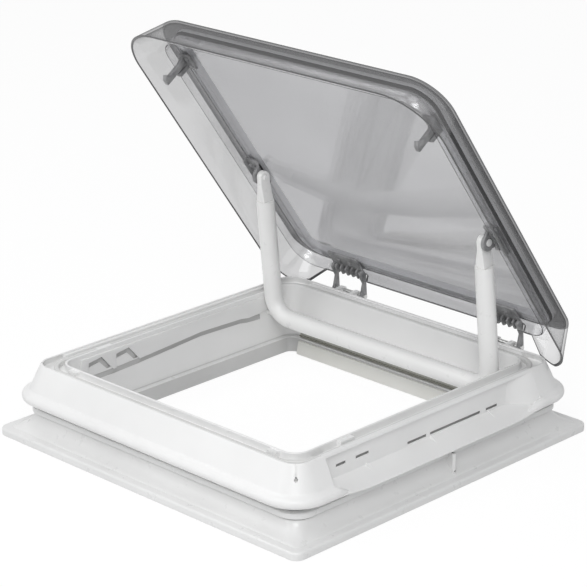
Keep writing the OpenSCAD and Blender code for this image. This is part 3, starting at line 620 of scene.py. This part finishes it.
def rail_track(bm, mirror):
    """The groove under the guide rail's edge and inside its catch hooks, with a floor that falls away."""
    main = [(HOOK_Y[0], RAIL_LOW), (HOOK_Y[1], RAIL_LOW), *RAIL_EDGE, TRACK_END]
    (a, top), (b, crest), (c, foot) = HOOK_EDGE
    runs = [(main, main)]
    for start in HOOK_Y:
        upper = [(start + a, top), (start + b, crest), (start + c, foot)]
        lower = [(start + a, top), (start + b - CREST_IN, crest), (start + c - TRACK_H, foot + TRACK_H)]
        runs.append((upper, lower))
    for upper, lower in runs:
        rings = []
        for x, drop in ((OPEN_H - CLEAR, TRACK_H), (OPEN_H + TRACK_DEPTH, TRACK_H + TRACK_DROP)):
            rings.append([(x, y, z) for y, z in upper] + [(x, y, z - drop) for y, z in reversed(lower)])
        loft(bm, rings, mirror)


def make_rail(side, mirror):
    outline = [(RAIL_FRONT, RAIL_TOP), (RAIL_FRONT, RAIL_LOW)]
    for start in HOOK_Y:
        hook = [(start + y, z) for y, z in HOOK_EDGE]
        outline += [(start, RAIL_LOW), *hook, (start + HOOK_L, RAIL_LOW)]
    outline += [*RAIL_EDGE, *RAIL_SEAT, (RAIL_REAR, RAIL_TOP)]
    bm = bmesh.new()
    prism(bm, outline, X_AXIS, OPEN_H - RAIL_T, OPEN_H, mirror)
    round_edges(bm, FINE_ROUND)
    replaced = ["guide_rail_" + side]
    make_piece("rail_plate_" + side, bm, "fixed_frame", [WHITE_UPPER], replaced)


def vent_cutter(mirror):
    """The slots of one side recess, the way of the latch through the gutter floor and the rail track."""
    bm = bmesh.new()
    for start, end, z in VENT_SLOTS:
        block(bm, (RECESS_H - SLOT_DEPTH, start, z), (RECESS_H + CLEAR, end, z + SLOT_H), mirror)
    way_low = (OPEN_H + WALL + WAY_IN, LATCH_Y - WAY_FRONT, GUTTER_Z - WALL - CLEAR)
    way_high = (LATCH_X1 + WAY_OUT, LATCH_Y + WAY_REAR, GUTTER_Z + CLEAR)
    block(bm, way_low, way_high, mirror)
    rail_track(bm, mirror)
    return bm


def recess_end(bm, start, end, matrix):
    """A smooth slope that closes one end of a recess, from its wall out to the face of the skirt."""
    wall, low, top = RECESS_H - ROOT, LIP_Z - SLOPE_DROP, RIM_Z - RIM_EDGE + ROOT
    outer = [(wall, low), (FOOT_H + SLOPE_OUT, low), (FOOT_H - SLOPE_IN, SKIRT_FOOT),
             (RIM_H + (RIM_Z - top) * SKIRT_LEAN, top), (wall, top)]
    inner = [(min(h, wall + SLOPE_SKIN), z) for h, z in outer]
    rings = []
    for t, share in eased_places(start, end):
        rings.append([(a + (b - a) * share, t, z) for (a, z), (b, _) in zip(inner, outer)])
    loft(bm, rings, matrix)


def lip_end(bm, start, end, sink, matrix):
    """A taper that brings the thin lip of a recess up to the full lip of the corner."""
    rings = []
    for t, share in eased_places(start, end):
        radius = (LIP_R - TAPER_IN) * (TAPER_SLIM + (1 - TAPER_SLIM) * share)
        rings.append([(h, t, z) for h, z in disc(LIP_H, LIP_Z - sink * (1 - share), radius)])
    loft(bm, rings, matrix)


def sag_lip(bm):
    """Lowers the lip of a side recess between its ends."""
    slack = 1.0
    for vert in bm.verts:
        x, y, z = vert.co / MM
        if LIP_Z - LIP_R - slack < z < SHELF_Z + slack:
            reach = min(1.0, max(0.0, (abs(x) - RECESS_H) / (FOOT_H - RECESS_H)))
            along = min(1.0, (y + SIDE_FRONT) / SAG_RUN, (SIDE_REAR - y) / SAG_RUN)
            vert.co.z -= LIP_SAG * reach * ease(along) * MM


def side_details(bm, mirror):
    """Ribs on the shelf, gussets under the lip, stops in the gutter and hinge lugs of one half."""
    wall, rim, rib_h = RECESS_H - ROOT, RIM_H - ROOT, FOOT_H - RIB_IN
    rib_end, low = LIP_Z + ROOT - LIP_SAG * RIB_SAG, LIP_Z - LIP_R + ROOT - LIP_SAG
    rib = [(wall, SHELF_Z - RIB_SINK), (wall, SHELF_Z + RIB_RISE), (rib_h, rib_end),
           (rib_h, rib_end - RIB_END_T)]
    gusset = [(rim, low), (FOOT_H + GUSSET_OUT, low), (rim, low - GUSSET_DROP)]
    for y in RIB_Y:
        prism(bm, rib, Y_AXIS, y - RIB_T / 2, y + RIB_T / 2, mirror)
        middle = y - GUSSET_AHEAD
        prism(bm, gusset, Y_AXIS, middle - GUSSET_T / 2, middle + GUSSET_T / 2, mirror)
    inner, outer, foot = OPEN_H + WALL - SEAM, OPEN_H + WALL + STOP_W, GUTTER_Z - ROOT
    block(bm, (inner, STOP_SIDE[0], foot), (outer, STOP_SIDE[1], STOP_TOP), mirror)
    block(bm, (STOP_FRONT[0], -outer, foot), (STOP_FRONT[1], -inner, STOP_TOP), mirror)
    lug = [(wall, LUG_FOOT), (wall, RIM_Z - RIM_EDGE), *arc(HINGE_Y, HINGE_Z, EYE_R, *LUG_ARC)]
    for x in (HINGE_X - LUG_OFF, HINGE_X + LUG_OFF):
        prism(bm, lug, X_AXIS, x - LUG_T / 2, x + LUG_T / 2, mirror)


def shade_upper(bm):
    """Paints shade into the rail tracks and the inside of the slots, with the darker white and grey."""
    track, slot = 1, 2
    skin, track_slack, slot_slack = 0.05, 0.2, 0.1
    low, high, slot_high, half = SHELF_Z + 1, RAIL_TOP, RIM_Z - 15, INNER_AXIS - 5
    for face in bm.faces:
        x, y, z = face.calc_center_median() / MM
        if abs(y) < half and low < z < high:
            if skin < abs(x) - OPEN_H < TRACK_DEPTH + track_slack:
                face.material_index = track
            elif skin < RECESS_H - abs(x) < SLOT_DEPTH + slot_slack and z < slot_high:
                face.material_index = slot


def make_upper():
    full, recess = upper_sections()
    bm = bmesh.new()
    front_run = [on_side(LEFT, SIDE_FRONT), *corner(LEFT), *corner(FRONT), on_side(RIGHT, -SIDE_FRONT)]
    right_run = [on_side(RIGHT, SIDE_REAR), *corner(RIGHT), on_side(REAR, -REAR_HALF)]
    left_run = [on_side(REAR, REAR_HALF), *corner(REAR), on_side(LEFT, -SIDE_REAR)]
    for stations, corners in ((front_run, (LEFT, FRONT)), (right_run, (RIGHT,)), (left_run, (REAR,))):
        run = bmesh.new()
        sweep(run, full, stations, False)
        grooves, holes = weep_cutters(*corners)
        join(bm, carve(carve(run, grooves), holes))
    for side, low, high, mirror in ((RIGHT, -SIDE_FRONT, SIDE_REAR, SIDES["right"]),
                                    (LEFT, -SIDE_REAR, SIDE_FRONT, SIDES["left"])):
        run = bmesh.new()
        places = [low + (high - low) * i / RUN_STEPS for i in range(RUN_STEPS + 1)]
        sweep(run, recess, [on_side(side, t) for t in places], False)
        sag_lip(run)
        join(bm, carve(run, vent_cutter(mirror)))
        side_details(bm, mirror)
        recess_end(bm, -SIDE_FRONT + SLOPE_FRONT, -SIDE_FRONT - SEAM, mirror)
        recess_end(bm, SIDE_REAR - SLOPE_REAR, SIDE_REAR + SEAM, mirror)
        lip_end(bm, -SIDE_FRONT + TAPER_FRONT, -SIDE_FRONT - SEAM, SIDE_SINK, mirror)
        lip_end(bm, SIDE_REAR - TAPER_REAR, SIDE_REAR + SEAM, SIDE_SINK, mirror)
    for sign in (-1, 1):
        start, end = sign * (REAR_HALF - BACK_END), sign * (REAR_HALF + SEAM)
        recess_end(bm, start, end, QUARTERS[REAR])
        lip_end(bm, start, end, BACK_SINK, QUARTERS[REAR])
    sweep(bm, recess, [on_side(REAR, -REAR_HALF), on_side(REAR, REAR_HALF)], False)
    for quarter in QUARTERS:
        for t in (-SCREW_AT, SCREW_AT):
            prism(bm, disc(SCREW_H, t, BOSS_R), Z_AXIS, LEDGE_Z, GUTTER_Z - ROOT, quarter)
    shade_upper(bm)
    materials = [WHITE_UPPER, PAINTED_SHADE_WHITE, SLOT_PAINTED_SHADE]
    make_piece("upper_moulding", bm, "fixed_frame", materials, ["upper_frame"])


# Lid shells
def dome_plan(inset):
    """Places round the dome, from the right side by way of the rear, with more along the rear edge."""
    fx, fy = DOME_X - DOME_FRONT_R, DOME_FRONT - DOME_FRONT_R
    rx, ry = DOME_X - DOME_REAR_R, DOME_REAR - DOME_REAR_R
    rf, rr = DOME_FRONT_R - inset, DOME_REAR_R - inset
    points = []

    def turn(cx, cy, r, start):
        points.extend(arc(cx, cy, r, start, start + 90, DOME_STEPS))

    turn(rx, ry, rr, 0)
    rear = [rx - REAR_PITCH * i for i in range(1, REAR_COUNT + 1)]
    rear += [HINGE_X + CLIP_GAP, HINGE_X - CLIP_GAP, HINGE_X - CLIP_GAP - CLIP_STEP, REAR_MID, 0]
    points.extend((x, DOME_REAR - inset) for x in rear)
    points.extend((-x, DOME_REAR - inset) for x in rear[-2::-1])
    turn(-rx, ry, rr, 90)
    turn(-fx, -fy, rf, 180)
    turn(fx, -fy, rf, 270)
    return [(x, y - DOME_REAR_LEAN * inset * max(0.0, (y - ry) / DOME_REAR_R)) for x, y in points]


def rear_cut(x, y):
    """Height of the cutout above the rim, by place along the rear edge."""
    if y < CUT_FROM:
        return 0.0
    if abs(abs(x) - HINGE_X) <= CLIP_GAP:
        return DOME_CLIP_H
    inside = DOME_X - abs(x)
    for (x0, z0), (x1, z1) in zip(CUT_MARKS, CUT_MARKS[1:]):
        if inside < x1:
            return max(0.0, z0 + (z1 - z0) * (inside - x0) / (x1 - x0))
    return DOME_CUT_H


def make_dome():
    lean = math.atan(DOME_DRAFT / (DOME_H - DOME_ROUND))
    flat = DOME_DRAFT + DOME_ROUND * math.cos(lean)
    rim_z = DOME_TOP - DOME_H
    knee_z = DOME_TOP - DOME_ROUND
    arcs = [lean + (math.pi / 2 - lean) * i / SHOULDER_STEPS for i in range(SHOULDER_STEPS + 1)]
    plan = dome_plan(0)
    lifts = [rear_cut(x, y) for x, y in plan]

    def shoulder(radius):
        return [(flat - radius * math.cos(a), knee_z + radius * math.sin(a)) for a in arcs]

    def level_ring(inset, z):
        return [(x, y, z) for x, y in dome_plan(inset)]

    def side_ring(foot_inset, knee, share, extra):
        """A ring part of the way up the side, from the rim or the edge of the cutout to the shoulder."""
        ring, plans = [], {}
        for i, lift in enumerate(lifts):
            low = rim_z + lift + extra
            z = low + (knee[1] - low) * share
            inset = round(foot_inset + (knee[0] - foot_inset) * (z - rim_z) / (knee[1] - rim_z), 3)
            if inset not in plans:
                plans[inset] = dome_plan(inset)
            ring.append((*plans[inset][i], z))
        return ring

    outer, inner = shoulder(DOME_ROUND), shoulder(DOME_ROUND - DOME_T)
    inner_foot = DOME_T / math.cos(lean)
    middle_knee = (outer[0][0] + DOME_T / 2, knee_z)
    rings = [level_ring(DOME_BORDER, DOME_TOP)] + [level_ring(*p) for p in outer[::-1]]
    rings += [side_ring(0.0, outer[0], s, DOME_EDGE) for s in SIDE_SHARES[::-1]]
    rings += [side_ring(inner_foot / 2, middle_knee, 0.0, 0.0)]
    rings += [side_ring(inner_foot, inner[0], s, DOME_EDGE) for s in SIDE_SHARES]
    rings += [level_ring(*p) for p in inner] + [level_ring(DOME_BORDER, DOME_TOP - DOME_T)]
    bm = bmesh.new()
    strips = loft(bm, rings, LID_TURN)
    materials = [SMOKE_TOP, SMOKE_EDGE, SMOKE_SKIRT, SMOKE_BORDER, SMOKE_SIDE_SHADE, SMOKE_FLANK_LIT]
    top, edge, skirt, border, side, flank = range(len(materials))
    # The border is tinted darker than the top, and darker still on the sides and rear as a painted shade;
    # the skirt on the right has a lighter tint, a painted light; the rear has the top's tint
    slack, rear_half = 1.0, DOME_X - CUT_MARKS[-1][0]
    rear_run = [i for i, (x, y) in enumerate(plan) if y > DOME_REAR - slack and abs(x) < rear_half]
    front_run = [i for i, (_, y) in enumerate(plan[1:]) if y < DOME_FRONT_R - DOME_FRONT - slack]
    sheet = [border] * len(arcs) + [skirt] * len(SIDE_SHARES)
    for strip, kind in zip(strips, sheet + [edge] * 2 + sheet[::-1]):
        for i, face in enumerate(strip):
            if kind != edge and i in rear_run:
                face.material_index = top
            elif kind == border and i not in front_run:
                face.material_index = side
            elif kind == skirt and i <= DOME_STEPS:
                face.material_index = flank
            else:
                face.material_index = kind
    make_piece("dome_shell", bm, "lid", materials, ["outer_dome"], sharp=SHELL_SHARP)


def pan_ring(h, z):
    return [(*station(h, PAN_R - PAN_H + h), z) for station in ALL_ROUND]


def make_pan():
    inside, foot_z = PAN_H - PAN_T, RING_Z + PAN_EDGE
    section = list(arc(PAN_H - PAN_ROUND, PAN_TOP - PAN_ROUND, PAN_ROUND, 90, 0, 6))
    section += [(PAN_H, foot_z), (PAN_H - PAN_EDGE, RING_Z), (inside + PAN_EDGE, RING_Z), (inside, foot_z)]
    section += arc(inside - PAN_IN_ROUND, FACE_Z - PAN_IN_ROUND, PAN_IN_ROUND, 0, 90, 5)
    bm, notch = bmesh.new(), bmesh.new()
    loft(bm, [pan_ring(*p) for p in section], LID_TURN)
    reach = HOOK_W / 2 + NOTCH_ROOM
    notch_low = (HINGE_X - reach, inside - CLEAR, RING_Z - CLEAR)
    notch_high = (HINGE_X + reach, PAN_H + CLEAR, FACE_Z - NOTCH_ROOF)
    for mirror in SIDES.values():
        block(notch, notch_low, notch_high, LID_TURN @ mirror)
    bm = carve(bm, notch)
    # The foot of the ring is dark, and the front wall mirrors more
    materials = [SMOKE_PAN, SMOKE_WALL, SMOKE_EDGE]
    wall, foot = 1, 2
    flat, down, ahead = LID_TURN.inverted(), Vector((0, 0, -1)), Vector((0, -1, 0))
    level_limit, front_limit = 0.95, 0.5
    for face in bm.faces:
        normal = flat.to_3x3() @ face.normal
        _, y, z = flat @ (face.calc_center_median() / MM)
        if normal.dot(down) > level_limit and z < foot_z:
            face.material_index = foot
        elif normal.dot(ahead) > front_limit and y < PAN_R - PAN_H:
            face.material_index = wall
    make_piece("pan_shell", bm, "lid", materials, ["inner_pan"], sharp=SHELL_SHARP)


def make_spacer():
    """The strip between the two shells, with a dark bond line along the foot of its outer face."""
    outer, inner = PAN_H - 1, PAN_H - 1 - SPACER_W
    low, high = PAN_TOP, PAN_TOP + SPACER_H
    section = [(inner, low), (outer - SPACER_LINE, low), (outer, low), (outer, low + SPACER_BOND),
               (outer, high), (inner, high)]
    bond = (2, 3)
    bm = bmesh.new()
    rows = []
    for station in ALL_ROUND:
        points = [(*station(h, PAN_R - PAN_H + h), z) for h, z in section]
        rows.append([bm.verts.new(p) for p in to_metres(points, LID_TURN)])
    for a, b in zip(rows, rows[1:] + rows[:1]):
        for i in range(len(section)):
            face = bm.faces.new((a[i - 1], a[i], b[i], b[i - 1]))
            face.material_index = int(i in bond)
    make_piece("spacer_band", bm, "lid", [SPACER, SPACER_EDGE], ["pane_spacer"])


# Clips on the lid and the caps of the bail
def make_latch(side, mirror):
    turn = LID_TURN @ mirror
    bm = bmesh.new()
    under = FACE_Z - PLATE_T
    for prong in (LONG_PRONG, SHORT_PRONG):
        prism(bm, [(LATCH_Y + y, z) for y, z in prong], X_AXIS, LATCH_X0, LATCH_X1, turn)
    block(bm, (LATCH_PLATE_X, LATCH_Y - LATCH_HALF, under),
          (LATCH_X1, LATCH_Y + LATCH_HALF, FACE_Z), turn)
    for offset in LATCH_RIBS:
        y = LATCH_Y + offset
        block(bm, (LATCH_X0 - LATCH_RIB_OUT, y, RIM_Z + CLEAR),
              (LATCH_X0 + LATCH_RIB_IN, y + LATCH_RIB_T, under), turn)
    round_edges(bm, SOFT_ROUND)
    make_piece("latch_clip_" + side, bm, "lid", [GREY_CLIP], ["latch_hook_" + side])


def make_bracket(side, mirror):
    turn = LID_TURN @ mirror
    bm, hole, head = bmesh.new(), bmesh.new(), bmesh.new()
    outside, ear_end = BRACKET_X + BRACKET_T, EAR_R + EAR_FLARE
    ear = [(PIVOT_Y - ear_end, FACE_Z), *arc(PIVOT_Y, PIVOT_Z, EAR_R, 180, 360, 18),
           (PIVOT_Y + ear_end, FACE_Z)]
    prism(bm, ear, X_AXIS, BRACKET_X, outside, turn)
    prism(hole, disc(PIVOT_Y, PIVOT_Z, PIVOT_HEAD_R), X_AXIS, outside - HEAD_HOLE, outside + CLEAR, turn)
    bm = carve(bm, hole)
    front, fork, rear = PIVOT_Y - 2 * EAR_R, PIVOT_Y - EAR_R, PIVOT_Y + 2 * EAR_R
    inner, outer, right = (BRACKET_X + width for width in (FORK_IN, FORK_OUT, PLATE_W))
    plate = [(BRACKET_X, front), (right, front), (right, rear), (outer, rear), (outer, fork),
             (inner, fork), (inner, rear), (BRACKET_X, rear)]
    prism(bm, plate, Z_AXIS, FACE_Z - PLATE_T, FACE_Z, turn)
    block(bm, (right - FLAP_T, front, FACE_Z - FLAP_H), (right, rear, FACE_Z - PLATE_T + SEAM), turn)
    round_edges(bm, CLIP_ROUND)
    make_piece("bail_clip_" + side, bm, "lid", [GREY_CLIP], ["bail_bracket_" + side])
    face = disc(PIVOT_Y, PIVOT_Z, PIVOT_HEAD_R - HEAD_GAP)
    prism(head, face, X_AXIS, outside - HEAD_SINK, outside + HEAD_RISE, turn)
    round_edges(head, CLIP_ROUND)
    make_piece("pivot_head_" + side, head, "lid", [WHITE_BAIL])


def make_hinge_clip(side, mirror):
    """A comb of ribs over the rear edge of the pan, with a slim leg at each end that runs to the pin."""
    turn = LID_TURN @ mirror
    bm = bmesh.new()
    front, back, top, low = PAN_H - 6.0, PAN_H + 8.0, FACE_Z - 0.5, RIM_Z + 4.0
    left, right = HINGE_X - HOOK_W / 2, HINGE_X + HOOK_W / 2
    leg = [(front + 2, top), (back - 3, top), (back + 5, low + 2.5),
           *arc(HINGE_Y, HINGE_Z, EYE_R, *CLIP_EYE),
           (RIM_H + 3, low - 2.2), (back - 3, low - 1.2), (front + 2, low)]
    for x in (left, right - CLIP_LEG_T):
        prism(bm, leg, X_AXIS, x, x + CLIP_LEG_T, turn)
    # Tongue under the pan, roof of the comb and the web behind it: two opposite corners each
    plates = (((front - CLIP_TONGUE, FACE_Z - PLATE_T), (front + 3, FACE_Z)),
              ((front + 1, top - 2), (back - 1, top)),
              ((back - 5, low + 1.5), (back - 3, top - 1)))
    for (y0, z0), (y1, z1) in plates:
        block(bm, (left + ROOT, y0, z0), (right - ROOT, y1, z1), turn)
    rib = [(front, top - 1), (front + 1.5, low), (back - 2, low - 1), (back, low + 2), (back, top - 1)]
    for share in CLIP_RIBS:
        x = HINGE_X + share * HOOK_W
        prism(bm, rib, X_AXIS, x - CLIP_RIB_T / 2, x + CLIP_RIB_T / 2, turn)
    round_edges(bm, CLIP_ROUND)
    make_piece("hinge_clip_" + side, bm, "lid", [GREY_CLIP], ["hinge_hook_" + side])


def make_cap(side, mirror):
    foot = CAP_R + CAP_FLARE
    outline = [(-foot, -CAP_L), (foot, -CAP_L), (CAP_R, CAP_WAIST), *arc(0, 0, CAP_R, 0, 180, 16),
               (-CAP_R, CAP_WAIST)]

    def half(z):
        return CAP_SLIM + (CAP_THICK - CAP_SLIM) * max(0.0, (CAP_WAIST - z) / (CAP_L + CAP_WAIST))

    bm = bmesh.new()
    loft(bm, [[(BAIL_X + s * half(z), y, z) for y, z in outline] for s in (-1, 1)], mirror @ BAIL_TURN)
    round_edges(bm, CAP_ROUND, 3)
    make_piece("bail_cap_" + side, bm, "bail_arm", [WHITE_BAIL], ["bail_end_" + side])


# Seals
def make_gutter_seal():
    inner, outer = OPEN_H + WALL + SEAL_IN, RECESS_BACK - SEAL_GAP
    middle, crown = (inner + outer) / 2, SEAL_TOP + BULB_H
    section = [(inner, GUTTER_Z, 0), (outer, GUTTER_Z, 0), (outer, SEAL_TOP, 1.2),
               (middle + BULB_HALF, crown, 1.5), (middle - BULB_HALF, crown, 1.5),
               (inner, SEAL_TOP, 1.2)]
    bm = bmesh.new()
    sweep(bm, rounded([(h, z, PAN_R - PAN_H + h, f) for h, z, f in section]), ALL_ROUND, True)
    make_piece("gutter_seal", bm, "fixed_frame", [LIGHT_RUBBER], ["lid_seal"])


def make_rear_gasket():
    half = INNER_AXIS - GASKET_END
    backing, strand = bmesh.new(), bmesh.new()
    block(backing, (-half, OPEN_H - GASKET_T, LEDGE_Z), (half, OPEN_H, LEDGE_Z + GASKET_H))
    round_edges(backing, SOFT_ROUND)
    make_piece("rear_gasket", backing, "fixed_frame", [OLIVE_PALE], ["rear_seal"])
    # The bead is a rubber seal, and its dark olive also paints the shade in the gap at the foot of the
    # rear wall
    prism(strand, disc(OPEN_H - STRAND_IN, LEDGE_Z + STRAND_Z, STRAND_R, SMALL_STEPS), X_AXIS, -half, half)
    make_piece("rear_bead", strand, "fixed_frame", [OLIVE_RUBBER])


make_base()
make_upper()
make_gutter_seal()
make_rear_gasket()
make_dome()
make_pan()
make_spacer()
for side_name, side_mirror in SIDES.items():
    for make in (make_latch, make_bracket, make_hinge_clip, make_rail, make_cap):
        make(side_name, side_mirror)

# Materials of the nodes that show as they are
NODE_MATERIALS = {
    "roof_seal": DARK_RUBBER, "frame_screws": STEEL, "ledge_seal": LIGHT_RUBBER, "rear_strip": BEIGE,
    "hinge_pin_left": STEEL, "hinge_pin_right": STEEL, "bracket_screws": GREY_CLIP,
    "pivot_pin_left": WHITE_BAIL, "pivot_pin_right": WHITE_BAIL, "bail": WHITE_BAIL,
    "guide_pin_left": WHITE_BAIL, "guide_pin_right": WHITE_BAIL,
}
for node_name, node_material in NODE_MATERIALS.items():
    for node_slot in frame["nodes"][node_name].material_slots:
        node_slot.material = node_material


# Floor, world and lamps, in metres and watts
FLOOR_HALF, FLOOR_DROP = 60.0, 0.0006
FLOOR_TONE, FLOOR_ROUGH, FLOOR_GLOW, GLOW_SHARE = (0.88, 0.88, 0.88, 1), 0.9, 1.03, 0.9
SKY_TONE, SKY_LEVEL, BACKDROP_TONE, BACKDROP_LEVEL = (0.97, 0.98, 1.0, 1), 0.34, (1, 1, 1, 1), 1.0
LAMP_AIM = Vector((0, 0, 0.1))
LAMPS = (("key_lamp", (-1.1, -2.2, 2.0), 1.8, 17.5), ("near_lamp", (1.6, -1.7, 1.9), 1.2, 32.0),
         ("left_lamp", (-1.22, -0.25, 2.39), 1.0, 8.0), ("over_lamp", (0.5, -0.9, 2.6), 1.2, 9.0))


def seen_directly(tree):
    """1 for rays from the camera, and for what gloss and clear plastic show of the surroundings."""
    path = tree.nodes.new("ShaderNodeLightPath")
    total = path.outputs["Is Camera Ray"]
    for name in ("Is Glossy Ray", "Is Transmission Ray"):
        add = tree.nodes.new("ShaderNodeMath")
        add.operation = "ADD"
        add.use_clamp = True
        link(tree, total, add.inputs[0])
        link(tree, path.outputs[name], add.inputs[1])
        total = add.outputs["Value"]
    return total


def make_floor():
    """Pale paper that takes the shadow, and shows nearly white where it is seen."""
    h = FLOOR_HALF
    mesh = bpy.data.meshes.new("floor")
    mesh.from_pydata([(-h, -h, 0), (h, -h, 0), (h, h, 0), (-h, h, 0)], [], [(0, 1, 2, 3)])
    floor = add_object("floor", mesh)
    floor.location.z = -FLOOR_DROP
    material, tree = new_material("floor_paper")
    shader = tree.nodes["Principled BSDF"]
    shader.inputs["Base Color"].default_value = FLOOR_TONE
    shader.inputs["Roughness"].default_value = FLOOR_ROUGH
    shader.inputs["Specular IOR Level"].default_value = 0.0
    glow = tree.nodes.new("ShaderNodeEmission")
    glow.inputs["Strength"].default_value = FLOOR_GLOW
    share = math_node(tree, "MULTIPLY", seen_directly(tree), GLOW_SHARE)
    blend_shaders(tree, share, shader.outputs["BSDF"], glow.outputs["Emission"], "Material Output")
    mesh.materials.append(material)


def make_world():
    """A soft sky that lights the part, with a white backdrop where it is seen."""
    world = bpy.data.worlds.new("studio")
    bpy.context.scene.world = world
    world.use_nodes = True
    tree = world.node_tree
    sky, plain = tree.nodes["Background"], tree.nodes.new("ShaderNodeBackground")
    for node, tone, level in ((sky, SKY_TONE, SKY_LEVEL), (plain, BACKDROP_TONE, BACKDROP_LEVEL)):
        node.inputs["Color"].default_value = tone
        node.inputs["Strength"].default_value = level
    blend_shaders(tree, seen_directly(tree), sky.outputs["Background"], plain.outputs["Background"],
                  "World Output")


def area_lamp(name, place, size, watts):
    data = bpy.data.lights.new(name, "AREA")
    data.shape = "SQUARE"
    data.size = size
    data.energy = watts
    lamp = add_object(name, data)
    lamp.location = place
    aim = LAMP_AIM - Vector(place)
    lamp.rotation_euler = aim.to_track_quat("-Z", "Y").to_euler()


make_floor()
make_world()
for lamp_settings in LAMPS:
    area_lamp(*lamp_settings)

bpy.context.scene.view_settings.view_transform = "Standard"
